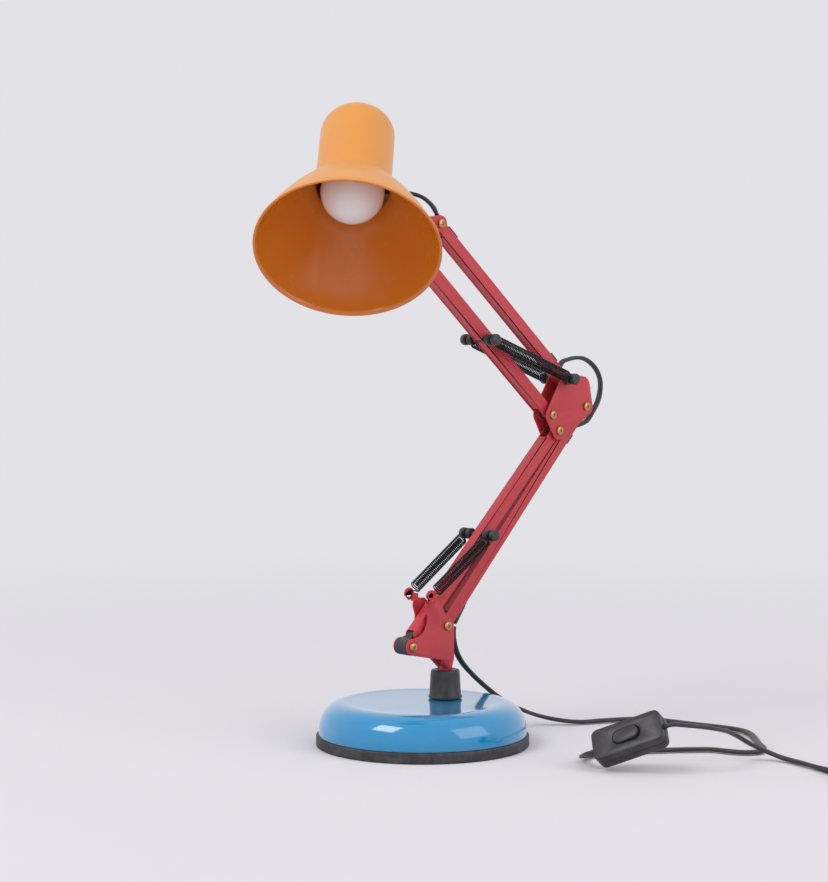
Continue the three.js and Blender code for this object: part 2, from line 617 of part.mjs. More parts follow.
function addHead() {
  // Folded bracket: two plates joined by a fold in front of the guide pivot.
  const foldX = HEAD_GUIDE[0] - 9;
  const plates = [
    ...platePair([[HEAD_MAIN, 6.6], [HEAD_GUIDE, 8], [[foldX + 3, 406], 3]], PLATE_IN, PLATE_T),
    ...platePair([[TILT, 8.5], [HEAD_GUIDE, 8], [[-14, 411], 6.5]], PLATE_IN, PLATE_T),
  ];
  const fold = block(foldX, foldX + PLATE_T, -PLATE_OUT, PLATE_OUT, 403, 413);
  const bracket = joinAll([...plates, fold])
    .subtract(screwHole(HEAD_MAIN)).subtract(screwHole(HEAD_GUIDE)).subtract(crossPost(TILT, 2.6, -30, 30, 16));
  addPiece('head_bracket', bracket, redPaint());
  [['main', HEAD_MAIN], ['guide', HEAD_GUIDE]].forEach(([name, at]) => {
    addPiece(`head_screw_${name}`, pivotScrew(at, PLATE_OUT), yellowZinc());
    addPiece(`head_sleeve_${name}`, pivotSleeve(at, PLATE_IN), blackPlastic());
  });

  // Tilt bolt with its knob on the far side.
  const boltR = 2.3;
  const knob0 = PLATE_OUT + GAP;
  const bolt = joinAll([
    crossPost(TILT, boltR, -PLATE_OUT - GAP - 0.5, knob0 + 1, 16),
    crossPost(TILT, 4.2, -PLATE_OUT - GAP - 2.4, -PLATE_OUT - GAP, 6),
    crossPost(TILT, 8, knob0, knob0 + 9, 10),
  ]);
  addPiece('tilt_knob', bolt, blackPlastic());

  // Knuckle: an eye on the tilt bolt and a neck into the shade's cap.
  const frame = shadeFrame();
  const neck = new THREE.CylinderGeometry(NECK_R, NECK_R, MOUNT_RADIUS - CAP_R - GAP, 24);
  neck.rotateZ(Math.PI / 2);
  neck.translate(CAP_R + GAP + (MOUNT_RADIUS - CAP_R - GAP) / 2, 0, MOUNT_S);
  const pinIn = 7;
  const pin = new THREE.CylinderGeometry(2.6, 2.6, pinIn + 2, 16);
  pin.rotateZ(Math.PI / 2);
  pin.translate(CAP_R + GAP + 1 - pinIn / 2, 0, MOUNT_S);
  const eye = crossPost(TILT, EYE_R, -PLATE_IN + GAP, PLATE_IN - GAP, 28);
  const knuckle = joinAll([eye, place(solidOf(neck), frame), place(solidOf(pin), frame)])
    .subtract(crossPost(TILT, boltR + RUNNING, -30, 30, 16));
  addPiece('tilt_knuckle', knuckle, blackPlastic());

  // The nut that clamps the neck's pin inside the cap.
  const clampX = CAP_R - SHADE_WALL - 1.2 - STRAP_T - GAP - 2.6;
  const clamp = new THREE.CylinderGeometry(4.8, 4.8, 2.6, 6);
  clamp.rotateZ(Math.PI / 2);
  clamp.translate(clampX + 1.3, 0, MOUNT_S);
  const clampHole = new THREE.CylinderGeometry(2.6 + GAP, 2.6 + GAP, 8, 16);
  clampHole.rotateZ(Math.PI / 2);
  clampHole.translate(clampX, 0, MOUNT_S);
  addPiece('knuckle_nut', place(solidOf(clamp).subtract(solidOf(clampHole)), frame), plainSteel());

  // Shade with its mount hole and its cord hole.
  const pinHole = new THREE.CylinderGeometry(2.6 + RUNNING, 2.6 + RUNNING, 10, 16);
  pinHole.rotateZ(Math.PI / 2);
  pinHole.translate(CAP_R, 0, MOUNT_S);
  const glandTurn = new THREE.Matrix4().makeRotationZ(GLAND_ANGLE);
  const glandHole = new THREE.CylinderGeometry(3.2 + GAP, 3.2 + GAP, 10, 16);
  glandHole.rotateZ(Math.PI / 2);
  glandHole.translate(CAP_R, 0, GLAND_S);
  glandHole.applyMatrix4(glandTurn);
  const shade = turned(shadeProfile(), 30).subtract(solidOf(pinHole)).subtract(solidOf(glandHole));
  addPiece('shade', place(shade, frame), orangePaint());

  // Cord gland: a collar outside the cap and a shank through it.
  const collar = new THREE.CylinderGeometry(GLAND_R, GLAND_R, 8, 20);
  collar.rotateZ(Math.PI / 2);
  collar.translate(CAP_R + 0.7 + 4, 0, GLAND_S);
  const glandShank = new THREE.CylinderGeometry(3.2, 3.2, 6, 16);
  glandShank.rotateZ(Math.PI / 2);
  glandShank.translate(CAP_R - 0.5, 0, GLAND_S);
  const gland = solidOf(collar).add(solidOf(glandShank));
  addPiece('cord_gland', place(place(gland, glandTurn), frame), blackPlastic());

  // Lampholder on a strap that the knuckle's pin clamps inside the cap.
  const capIn = CAP_R - SHADE_WALL;
  const strapX = capIn - 1.2 - STRAP_T;
  const holderEnd = HOLDER_MOUTH_S + HOLDER_LEN;
  const leg = block(strapX, strapX + STRAP_T, -STRAP_W / 2, STRAP_W / 2, MOUNT_S - 6, holderEnd + GAP + STRAP_T);
  const arm = block(-8, strapX + STRAP_T, -STRAP_W / 2, STRAP_W / 2, holderEnd + GAP, holderEnd + GAP + STRAP_T);
  const strapHole = new THREE.CylinderGeometry(2.6 + GAP, 2.6 + GAP, 10, 16);
  strapHole.rotateZ(Math.PI / 2);
  strapHole.translate(strapX, 0, MOUNT_S);
  addPiece('holder_strap', place(leg.add(arm).subtract(solidOf(strapHole)), frame), plainSteel());

  const holderBore = HOLDER_R - HOLDER_WALL;
  const holder = turned([
    [holderBore, HOLDER_MOUTH_S], [HOLDER_R, HOLDER_MOUTH_S], [HOLDER_R, HOLDER_MOUTH_S + 12],
    [HOLDER_R - 1.2, HOLDER_MOUTH_S + 13], [HOLDER_R - 1.2, holderEnd], [0, holderEnd],
    [0, holderEnd - 4], [holderBore, holderEnd - 4],
  ], 32);
  addPiece('lampholder', place(holder, frame), blackPlastic());

  const glassNeck = BULB_CAP_R + 0.6;
  const meet = BULB_S + Math.sqrt(BULB_R ** 2 - (glassNeck + 2) ** 2);
  const glass = [[0, BULB_S - BULB_R]];
  const glassSteps = 9;
  for (let i = 1; i <= glassSteps; i += 1) {
    const a = Math.PI * (i / glassSteps) * 0.78;
    glass.push([BULB_R * Math.sin(a), BULB_S - BULB_R * Math.cos(a)]);
  }
  glass.push([glassNeck, meet + 6], [glassNeck, HOLDER_MOUTH_S - 1], [0, HOLDER_MOUTH_S - 1]);
  addPiece('bulb_glass', place(turned(glass, 24), frame), paint(0xe9e7e4, 0.35));
  const capStart = HOLDER_MOUTH_S - 1 + GAP;
  const bulbCap = turned([
    [0, capStart], [BULB_CAP_R, capStart], [BULB_CAP_R, capStart + 18], [6, capStart + 22], [0, capStart + 22],
  ], 28);
  addPiece('bulb_cap', place(bulbCap, frame), plainSteel());
}

// ================================================================ cord
// A tube through a list of points.
function cordTube(points, steps) {
  const path = new THREE.CatmullRomCurve3(points.map((p) => new THREE.Vector3(...p)), false, 'centripetal');
  const section = new THREE.Shape(Array.from({ length: 8 }, (_, i) => {
    const a = (2 * Math.PI * (i + 0.5)) / 8;
    return new THREE.Vector2(CORD_R * Math.cos(a), CORD_R * Math.sin(a));
  }));
  return solidOf(new THREE.ExtrudeGeometry(section, { steps, bevelEnabled: false, extrudePath: path }));
}

const flat = (xz, y = 0) => [xz[0], y, xz[1]];

// A clip that snaps into a channel's open side over the cord.
function cordClip(from, to, along, length, lean) {
  const inY = BAR_D / 2 - BAR_T - GAP;
  const mouth = lean - BAR_W / 2;
  const clip = block(along, along + length, -inY, inY, mouth - 1.9, mouth - 0.4);
  return place(clip, barFrame(from, to));
}

function addCords() {
  const upper = (along, offset) => flat(onBar(ELBOW_MAIN, HEAD_MAIN, along, offset));
  const lower = (along, offset) => flat(onBar(FOOT_MAIN, ELBOW_MAIN, along, offset));
  const upperSpan = spanOf(ELBOW_MAIN, HEAD_MAIN);
  const lowerSpan = spanOf(FOOT_MAIN, ELBOW_MAIN);

  addPiece('cord_upper_arm', cordTube([
    upper(46, -4.2), upper(80, -3.8), upper(120, -3.4), upper(160, -3), upper(upperSpan - 20, -2.8),
  ], 16), softBlack());
  addPiece('cord_lower_arm', cordTube([
    lower(10, -10.6), lower(24, -8.6), lower(42, -5.2), lower(60, -3.6), lower(110, -3.2), lower(160, -3.1),
    lower(lowerSpan - 26, -3),
  ], 20), softBlack());

  addPiece('cord_clip_head', cordClip(ELBOW_MAIN, HEAD_MAIN, upperSpan - 23, 12, LEAN_UPPER_MAIN[1]), blackPlastic());
  addPiece('cord_clip_upper', cordClip(ELBOW_MAIN, HEAD_MAIN, 49, 9, LEAN_UPPER_MAIN[0] + 0.5), blackPlastic());
  addPiece('cord_clip_lower', cordClip(FOOT_MAIN, ELBOW_MAIN, lowerSpan - 35, 9, LEAN_LOWER_MAIN[1]), blackPlastic());

  const frame = shadeFrame();
  const offGland = (reach) => new THREE.Vector3(
    (CAP_R + reach) * Math.cos(GLAND_ANGLE), (CAP_R + reach) * Math.sin(GLAND_ANGLE), GLAND_S,
  ).applyMatrix4(frame).toArray();
  addPiece('cord_head', cordTube([
    upper(upperSpan - 19.4, -2.9), upper(upperSpan - 10, -4), upper(upperSpan - 1, -5.9), [15.2, 1, 422.8],
    [14.8, 3, 426.5], [13.2, 6, 430.5], [9.8, 10.5, 435], [4, 17, 438.2], [-4, 25.5, 439], [-14, 34, 437.5],
    [-24, 40.5, 436], offGland(17), offGland(9.1),
  ], 24), softBlack());

  addPiece('cord_elbow', cordTube([
    upper(45.4, -4.3), upper(41, -5.6), [159, 1, 303.4], [168, 2, 305.8], [177, 2.5, 307], [186, 2.5, 306.5],
    [194, 2, 303.2], [201, 1, 296.8], [204.8, 0, 288], [204.4, 0, 279], [200.4, 0, 270.5], [193.4, 0, 262.8],
    [186.4, 0, 255.6], lower(lowerSpan - 18.5, -4.6), lower(lowerSpan - 25.3, -3.1),
  ], 28), softBlack());
}

// The lead from the lower arm over the floor to the switch, up to the switch's near end.
const LEAD = [
  [33.5, 0, 91.4], [33.2, 0, 85.5], [34.3, 0, 78], [37.5, 0.4, 70], [43.7, 1, 61.3], [55.1, 1.2, 50.5],
  [69.5, 1.2, 39.2], [86.3, 2, 28], [108.5, 1.3, 16.2], [132, -6.5, 6.8], [153, -22.5, 2.6], [174, -32, 2.4],
  [194, -41, 2.4], [208, -54, 2.4], [215, -72, 2.4], [218.5, -92, 2.4], [223, -110, 2.4], [226, -125, 2.4],
  [226, -140, 2.4], [218, -156, 2.4], [203, -173, 2.4], [188, -189, 2.4], [177, -202, 2.4], [165, -208, 2.4],
  [154, -203, 2.4], [148, -191, 2.4], [144, -178, 2.4], [131, -166, 2.4], [107, -150, 2.4], [84, -137, 2.4],
  [68, -131, 2.4], [53, -131, 2.6], [41, -136.5, 4.2], [32.5, -146, 7],
];

// The tail from the switch's raised end to the coil.
const TAIL = [
  [64.6, -223.3, 36.7], [75, -227, 34.9], [89.9, -227, 31.6], [110.9, -221.1, 26.3], [127.7, -218, 19.7],
  [138, -219.4, 13.8], [144.7, -222.8, 10], [150.1, -228.1, 6.7], [154.1, -236.6, 3.6], [155.1, -245.4, 2.4],
  [152.9, -256.6, 2.4], [150.1, -268.1, 2.4], [146.2, -280.4, 2.4], [143, -290.1, 2.4], [138.7, -303.5, 2.4],
];

// The switch's frame: x along it, z out of its face, with one lower corner on the floor.
function switchFrame() {
  const turn = new THREE.Matrix4().makeRotationFromEuler(
    new THREE.Euler(SWITCH_ROLL, -SWITCH_PITCH, SWITCH_YAW, 'ZYX'));
  const corner = new THREE.Vector3(-SWITCH_L / 2, -SWITCH_W / 2, -SWITCH_H / 2).applyMatrix4(turn);
  return turn.setPosition(new THREE.Vector3(...SWITCH_CORNER).sub(corner));
}

function roundedSlab(length, width, z0, z1, radius) {
  const [x, y] = [length / 2 - radius, width / 2 - radius];
  const corners = [[x, y], [-x, y], [-x, -y], [x, -y]];
  return joinAll([
    block(-length / 2, length / 2, -y, y, z0, z1),
    block(-x, x, -width / 2, width / 2, z0, z1),
    ...corners.map(([cx, cy]) => uprightPost(cx, cy, radius, z0, z1, 16)),
  ]);
}

function addSwitch() {
  const frame = switchFrame();
  const half = SWITCH_H / 2;
  const cordHole = new THREE.CylinderGeometry(CORD_R + GAP, CORD_R + GAP, SWITCH_L + 4, 12);
  cordHole.rotateZ(Math.PI / 2);
  const ends = solidOf(cordHole).subtract(block(-SWITCH_L / 2 + 6, SWITCH_L / 2 - 6, -10, 10, -10, 10));
  const well = roundedSlab(ROCKER_L + 1, ROCKER_W + 1, -1, half + 1, ROCKER_W / 2);
  const lower = roundedSlab(SWITCH_L, SWITCH_W, -half, -GAP / 2, 5).subtract(ends)
    .subtract(roundedSlab(SWITCH_L - 5, SWITCH_W - 5, -half + 2, 0, 3));
  const upper = roundedSlab(SWITCH_L, SWITCH_W, GAP / 2, half, 5).subtract(ends)
    .subtract(roundedSlab(SWITCH_L - 5, SWITCH_W - 5, 0, half - 2, 3))
    .subtract(well);
  addPiece('switch_base', place(lower, frame), blackPlastic());
  addPiece('switch_cover', place(upper, frame), blackPlastic());

  // Rocker: rests pressed at one end and turns about an axis across the switch.
  const rocker = roundedSlab(ROCKER_L, ROCKER_W, half - 4, half + 1.4, ROCKER_W / 2 - 0.2);
  const lean = new THREE.Matrix4().makeTranslation(0, 0, half - 3)
    .multiply(new THREE.Matrix4().makeRotationY(-5 * Math.PI / 180))
    .multiply(new THREE.Matrix4().makeTranslation(0, 0, -(half - 3)));
  addPiece('switch_rocker', place(place(rocker, lean), frame), blackPlastic());

  const along = (x) => new THREE.Vector3(x, 0, 0).applyMatrix4(frame).toArray();
  const tip = SWITCH_L / 2;
  addPiece('cord_lead', cordTube([...LEAD, along(-tip - 6.5), along(-tip + 1)], 64), softBlack());
  addPiece('cord_tail', cordTube([along(tip - 1), along(tip + 6), ...TAIL], 24), softBlack());
}

function addCoilAndPlug() {
  const floorGap = 0.2;
  const coilZ = floorGap + TIE_T + GAP;
  const [inner, outer] = [COIL_MID_R - COIL_HALF_W, COIL_MID_R + COIL_HALF_W];
  const coil = turned([[inner, coilZ], [outer, coilZ], [outer, coilZ + COIL_H], [inner, coilZ + COIL_H]], 40)
    .translate([COIL_AT[0], COIL_AT[1], 0]);
  addPiece('cord_coil', coil, softBlack());

  // A strap round the coil's turns at one place.
  const around = (turn) => new THREE.Matrix4().makeTranslation(COIL_AT[0], COIL_AT[1], 0)
    .multiply(new THREE.Matrix4().makeRotationZ(turn));
  const slack = GAP + 0.5;
  const [tieIn, tieOut] = [inner - slack, outer + slack];
  const tie = block(tieIn - TIE_T, tieOut + TIE_T, -TIE_W / 2, TIE_W / 2, floorGap, coilZ + COIL_H + GAP + TIE_T)
    .subtract(block(tieIn, tieOut, -TIE_W, TIE_W, coilZ - GAP, coilZ + COIL_H + GAP));
  addPiece('coil_tie', place(tie, around(TIE_TURN)), blackPlastic());

  // Flat two-pin plug beside the coil: x runs from the cord's end to the pins.
  const [bodyL, bodyW, bodyH] = PLUG_BODY;
  const midZ = floorGap + bodyH / 2;
  const outline = (x, width, height) => [-1, 1].flatMap((a) => [-1, 1].map((b) => [x, a * width / 2, midZ + b * height / 2]));
  const loft = (stations) => wasm.Manifold.hull(stations.flat());
  const neck = 8;
  const body = joinAll([
    loft([outline(0, 6.5, 5), outline(PLUG_RELIEF, 9, 8)]),
    loft([outline(PLUG_RELIEF - 0.5, 9, 8), outline(PLUG_RELIEF + neck, bodyW * 0.62, bodyH * 0.8),
      outline(PLUG_RELIEF + bodyL * 0.6, bodyW, bodyH), outline(PLUG_RELIEF + bodyL, bodyW, bodyH)]),
  ]);
  const pins = [-1, 1].map((side) => {
    const pin = new THREE.CylinderGeometry(PLUG_PIN_R, PLUG_PIN_R, PLUG_PIN_LEN + 2, 14);
    pin.rotateZ(Math.PI / 2);
    pin.translate(PLUG_RELIEF + bodyL + PLUG_PIN_LEN / 2 - 1, side * PLUG_PIN_SPAN / 2, midZ);
    return solidOf(pin);
  });
  const start = Math.sqrt(outer ** 2 - (COIL_MID_R + 2) ** 2) + 1;
  const plugPlace = around(PLUG_TURN).multiply(new THREE.Matrix4().makeTranslation(start, -COIL_MID_R - 6, 0));
  addPiece('plug', place(joinAll([body, ...pins]), plugPlace), blackPlastic());
}

addBase();
addFoot();
addLowerArm();
addElbow();
addUpperArm();
addHead();
addCords();
addSwitch();
addCoilAndPlug();

export default lamp;
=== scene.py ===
"""Looks of a sprung two-arm desk lamp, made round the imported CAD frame.

Lengths are in metres; the constants that end in _MM are in millimetres. The arms lie in
the XZ plane, +Z is up, and the origin is the centre of the base's underside.
"""

import logging
import math
from collections.abc import Callable, Sequence
from dataclasses import dataclass, field
from enum import Enum

import bmesh
import bpy
from mathutils import Matrix, Vector


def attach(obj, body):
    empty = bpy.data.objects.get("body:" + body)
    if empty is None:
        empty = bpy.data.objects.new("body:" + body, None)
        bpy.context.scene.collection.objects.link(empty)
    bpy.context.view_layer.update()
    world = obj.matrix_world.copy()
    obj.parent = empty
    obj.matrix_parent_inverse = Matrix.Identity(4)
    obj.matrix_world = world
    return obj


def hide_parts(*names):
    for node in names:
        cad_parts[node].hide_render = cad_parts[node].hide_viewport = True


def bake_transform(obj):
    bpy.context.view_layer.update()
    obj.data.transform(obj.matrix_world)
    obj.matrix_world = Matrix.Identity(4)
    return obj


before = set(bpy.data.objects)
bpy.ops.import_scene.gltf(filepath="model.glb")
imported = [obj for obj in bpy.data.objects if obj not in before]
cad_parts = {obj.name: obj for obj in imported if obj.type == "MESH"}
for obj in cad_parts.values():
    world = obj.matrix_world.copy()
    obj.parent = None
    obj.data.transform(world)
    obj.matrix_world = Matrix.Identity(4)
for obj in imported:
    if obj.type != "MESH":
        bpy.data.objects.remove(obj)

LOG = logging.getLogger("lamp")
MM = 0.001
WORLD_UP = Vector((0, 0, 1))


# ---------------------------------------------------------------- finishes
class Grain(Enum):
    """How a finish breaks up the light across its surface."""

    ORANGE_PEEL = "sprayed and baked"
    MOULDED = "moulded"
    CAST = "cast"
    DRAWN = "drawn or turned"


@dataclass(frozen=True)
class Finish:
    """One real finish, and the numbers that its material is made from.

    Attributes:
        name: The material's name.
        slot: The record's material slot; not used.
        colour: Main colour, sRGB hex.
        drift: The colour that it drifts to in soft patches, sRGB hex.
        roughness: Middle of the roughness.
        spread: How far the roughness wanders either way.
        grain: How the surface was made.
        grain_mm: Size of one grain.
        depth_mm: Height of the grain.
        patch_mm: Size of the soft colour patches.
        metallic: 1 for bare or plated metal.
        ior: Index of refraction of the top layer, for what isn't metal.
        coat: Weight of a clear gloss layer.
        coat_roughness: Roughness of that layer.
        dust: Share of pale dust and handling marks.
    """

    name: str
    slot: str
    colour: str
    drift: str
    roughness: float
    spread: float = 0.06
    grain: Grain = Grain.ORANGE_PEEL
    grain_mm: float = 0.9
    depth_mm: float = 0.01
    patch_mm: float = 28.0
    metallic: float = 0.0
    ior: float = 1.5
    coat: float = 0.0
    coat_roughness: float = 0.1
    dust: float = 0.0


# Polyester powder baked on steel: satin, with a fine pebble that softens its highlights.
RED_POWDER = Finish(
    "powder_coated_steel_red", "red_powder_coat", "#c8343d", "#bb2c37", 0.42,
    grain_mm=0.7, depth_mm=0.012, coat=0.15, coat_roughness=0.35, dust=0.04,
)
# Stoved gloss enamel: a deep wet shine that mirrors the room, with a slow ripple.
BLUE_ENAMEL = Finish(
    "gloss_enamel_blue", "blue_enamel", "#0090c6", "#0088bf", 0.16, spread=0.04,
    grain_mm=3.5, depth_mm=0.004, patch_mm=60, ior=1.52, coat=1.0, coat_roughness=0.06, dust=0.03,
)
# The shade's outside: the enamel as a warm satin; the inside takes a darker copy of it as painted shade.
ORANGE_ENAMEL = Finish(
    "satin_enamel_orange", "orange_enamel", "#e59a3c", "#dd8f33", 0.38,
    grain_mm=1.2, depth_mm=0.008, patch_mm=45, coat=0.25, coat_roughness=0.25, dust=0.05,
)
# The shade's inside: the same enamel, glossier, with its colour painted darker and deeper as painted shade.
ORANGE_INSIDE_PAINTED_SHADE = Finish(
    "gloss_enamel_orange_painted_shade_inside", "orange_enamel", "#d9791a", "#cf6f16", 0.24,
    grain_mm=2.2, depth_mm=0.006, patch_mm=40, coat=0.6, coat_roughness=0.12,
)
# Moulded ABS: a dull sheen over a very fine spark-eroded texture.
BLACK_ABS = Finish(
    "moulded_abs_black", "black_plastic", "#2a292c", "#313034", 0.42,
    grain=Grain.MOULDED, grain_mm=0.45, depth_mm=0.006, dust=0.08,
)
# Rubber: nearly matt, greyed a little by dust that settles in it.
BLACK_RUBBER = Finish(
    "moulded_rubber_black", "black_rubber", "#2f2e31", "#38373a", 0.62,
    grain=Grain.MOULDED, grain_mm=0.6, depth_mm=0.015, dust=0.14,
)
# Flexible PVC: smooth, with a waxy highlight along each core.
BLACK_PVC = Finish(
    "flexible_pvc_black", "black_pvc_cord", "#29282a", "#2f2e31", 0.44,
    grain=Grain.MOULDED, grain_mm=1.6, depth_mm=0.006, dust=0.06,
)
# Zinc plate passivated yellow: brassy with faint pink and green patches.
YELLOW_ZINC = Finish(
    "zinc_plated_steel_yellow", "yellow_zinc", "#cfae6b", "#b98f63", 0.3,
    grain=Grain.DRAWN, grain_mm=0.35, depth_mm=0.004, patch_mm=2.5, metallic=1.0,
)
# Blackened spring wire: dark metal with a hard thin glint on each coil.
SPRING_STEEL = Finish(
    "black_spring_steel", "spring_steel", "#3a3a3d", "#2c2c2f", 0.28,
    grain=Grain.DRAWN, grain_mm=0.5, depth_mm=0.003, patch_mm=9, metallic=1.0,
)
# Grey cast iron: rough and dull, out of sight in the base.
CAST_IRON = Finish(
    "grey_cast_iron", "cast_iron", "#5a5a5c", "#4a4746", 0.7,
    grain=Grain.CAST, grain_mm=1.5, depth_mm=0.15, metallic=0.8,
)
# Bright zinc plate on the small hidden fittings.
BRIGHT_ZINC = Finish(
    "zinc_plated_steel_bright", "zinc_steel", "#b9babd", "#a2a3a8", 0.32,
    grain=Grain.DRAWN, grain_mm=0.4, depth_mm=0.004, patch_mm=4, metallic=1.0,
)
# Opal glass: white flashed glass under a clear glossy skin.
OPAL_GLASS = Finish(
    "opal_glass", "opal_glass", "#eceae6", "#e4e2df", 0.22,
    grain_mm=6, depth_mm=0.002, patch_mm=30, ior=1.52, coat=0.6, coat_roughness=0.08,
)


def linear(hex_colour: str) -> tuple[float, float, float, float]:
    """Turns an sRGB hex colour into linear values.

    Args:
        hex_colour: "#rrggbb".

    Returns:
        Linear red, green and blue, and an alpha of 1.
    """
    parts = [int(hex_colour[i:i + 2], 16) / 255 for i in (1, 3, 5)]
    r, g, b = (c / 12.92 if c <= 0.04045 else ((c + 0.055) / 1.055) ** 2.4 for c in parts)
    return (r, g, b, 1.0)


def add_node(
    tree: bpy.types.NodeTree,
    kind: str,
    settings: dict | None = None,
    links: dict | None = None,
) -> bpy.types.Node:
    """Adds a node with its settings and its links.

    Args:
        tree: The tree that gets the node.
        kind: The node's type name.
        settings: Values by input name, input number or property name.
        links: Output sockets by input name or number.

    Returns:
        The new node.
    """
    node = tree.nodes.new(kind)
    for key, value in (settings or {}).items():
        if isinstance(key, str) and key not in node.inputs:
            setattr(node, key, value)
    for key, value in (settings or {}).items():
        if isinstance(key, int) or key in node.inputs:
            node.inputs[key].default_value = value
    for key, socket in (links or {}).items():
        tree.links.new(socket, node.inputs[key])
    return node


def grain_height(tree: bpy.types.NodeTree, finish: Finish, place: bpy.types.NodeSocket) -> bpy.types.NodeSocket:
    """Adds the pattern that gives a finish its surface.

    Args:
        tree: The material's tree.
        finish: The finish.
        place: Object coordinates.

    Returns:
        The socket with the pattern's height, from 0 to 1.
    """
    scale = 1 / (finish.grain_mm * MM)
    if finish.grain is Grain.MOULDED:
        return add_node(
            tree, "ShaderNodeTexVoronoi", {"Scale": scale, "feature": "SMOOTH_F1"}, {"Vector": place}
        ).outputs["Distance"]
    if finish.grain is Grain.DRAWN:
        along = add_node(tree, "ShaderNodeMapping", {"Scale": (1, 1, 0.12)}, {"Vector": place})
        place = along.outputs["Vector"]
    detail = 6 if finish.grain is Grain.CAST else 2
    return add_node(
        tree, "ShaderNodeTexNoise", {"Scale": scale, "Detail": detail, "Roughness": 0.5}, {"Vector": place}
    ).outputs["Fac"]


def material_of(finish: Finish) -> bpy.types.Material:
    """Makes a finish's material, or finds it if it is made already.

    Args:
        finish: The finish.

    Returns:
        The material.
    """
    known = bpy.data.materials.get(finish.name)
    if known:
        return known
    material = bpy.data.materials.new(finish.name)
    material.use_nodes = True
    tree = material.node_tree
    tree.nodes.clear()
    place = add_node(tree, "ShaderNodeTexCoord").outputs["Object"]
    patches = add_node(
        tree, "ShaderNodeTexNoise", {"Scale": 1 / (finish.patch_mm * MM), "Detail": 3}, {"Vector": place}
    ).outputs["Fac"]
    mixed = add_node(
        tree, "ShaderNodeMix",
        {"data_type": "RGBA", 6: linear(finish.colour), 7: linear(finish.drift)}, {0: patches},
    ).outputs[2]
    if finish.dust:
        # Dust and finger marks gather in loose clouds a centimetre or two across.
        clouds = add_node(
            tree, "ShaderNodeTexNoise", {"Scale": 1 / (14 * MM), "Detail": 7, "Roughness": 0.7},
            {"Vector": place},
        ).outputs["Fac"]
        share = add_node(
            tree, "ShaderNodeMapRange",
            {"From Min": 0.45, "From Max": 0.75, "To Min": 0.0, "To Max": finish.dust}, {"Value": clouds},
        ).outputs["Result"]
        mixed = add_node(
            tree, "ShaderNodeMix", {"data_type": "RGBA", 7: linear("#bdb8b2")}, {0: share, 6: mixed}
        ).outputs[2]
    rough_noise = add_node(
        tree, "ShaderNodeTexNoise", {"Scale": 1 / (finish.patch_mm * 0.4 * MM), "Detail": 4},
        {"Vector": place},
    ).outputs["Fac"]
    rough = add_node(
        tree, "ShaderNodeMapRange",
        {
            "From Min": 0.3, "From Max": 0.7,
            "To Min": finish.roughness - finish.spread, "To Max": finish.roughness + finish.spread,
        },
        {"Value": rough_noise},
    ).outputs["Result"]
    bump = add_node(
        tree, "ShaderNodeBump", {"Strength": 1.0, "Distance": finish.depth_mm * MM},
        {"Height": grain_height(tree, finish, place)},
    ).outputs["Normal"]
    settings = {
        "Metallic": finish.metallic,
        "Coat Weight": finish.coat,
        "Coat Roughness": finish.coat_roughness,
    }
    if not finish.metallic:
        settings["IOR"] = finish.ior
    shader = add_node(
        tree, "ShaderNodeBsdfPrincipled", settings,
        {"Base Color": mixed, "Roughness": rough, "Normal": bump},
    )
    add_node(tree, "ShaderNodeOutputMaterial", links={"Surface": shader.outputs["BSDF"]})
    return material


# ---------------------------------------------------------------- meshes
Profile = Sequence[tuple[float, float]]


def add_object(name: str, shape: bmesh.types.BMesh, finishes: Sequence[Finish], sharp: float = 35) -> bpy.types.Object:
    """Turns a bmesh into an object with its materials, facing outward.

    Args:
        name: The piece's name.
        shape: The closed mesh, in place; it is freed.
        finishes: One finish for each material number.
        sharp: Edges sharper than this many degrees stay crisp.

    Returns:
        The object.
    """
    if shape.calc_volume(signed=True) < 0:
        bmesh.ops.reverse_faces(shape, faces=shape.faces)
    mesh = bpy.data.meshes.new(name)
    shape.to_mesh(mesh)
    shape.free()
    for finish in finishes:
        mesh.materials.append(material_of(finish))
    mesh.shade_smooth()
    mesh.set_sharp_from_angle(angle=math.radians(sharp))
    piece = bpy.data.objects.new(name, mesh)
    bpy.context.scene.collection.objects.link(piece)
    return piece


def settle(piece: bpy.types.Object, body: str, nodes: Sequence[str] = ()) -> bpy.types.Object:
    """Attaches a piece to the body that it rides on and hides the CAD nodes that it stands for.

    Args:
        piece: The piece.
        body: The CAD body.
        nodes: The CAD nodes that it replaces.

    Returns:
        The same piece.
    """
    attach(piece, body)
    if nodes:
        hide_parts(*nodes)
    LOG.info("made %s on %s", piece.name, body)
    return piece


def lathe(
    shape: bmesh.types.BMesh,
    profile: Profile,
    place: Matrix,
    sides: int = 64,
    material_at: Callable[[int], int] | None = None,
) -> None:
    """Adds a closed body of revolution about the Z axis of a place.

    Args:
        shape: The mesh that gets it.
        profile: (radius, height) points; a loop, or a line that starts and ends on the axis.
        place: Where the axis is.
        sides: Number of sides.
        material_at: Gives the material number from the number of a profile step.
    """
    rings = []
    for radius, height in profile:
        if radius < 1e-7:
            rings.append([shape.verts.new(place @ Vector((0, 0, height)))])
            continue
        ring = []
        for k in range(sides):
            a = math.tau * k / sides
            ring.append(shape.verts.new(place @ Vector((radius * math.cos(a), radius * math.sin(a), height))))
        rings.append(ring)
    open_ends = len(rings[0]) == 1 and len(rings[-1]) == 1
    steps = len(rings) - 1 if open_ends else len(rings)
    for i in range(steps):
        low, high = rings[i], rings[(i + 1) % len(rings)]
        number = material_at(i) if material_at else 0
        for k in range(sides):
            n = (k + 1) % sides
            if len(low) == 1:
                corners = (low[0], high[n], high[k])
            elif len(high) == 1:
                corners = (low[k], low[n], high[0])
            else:
                corners = (low[k], low[n], high[n], high[k])
            face = shape.faces.new(corners)
            face.material_index = number


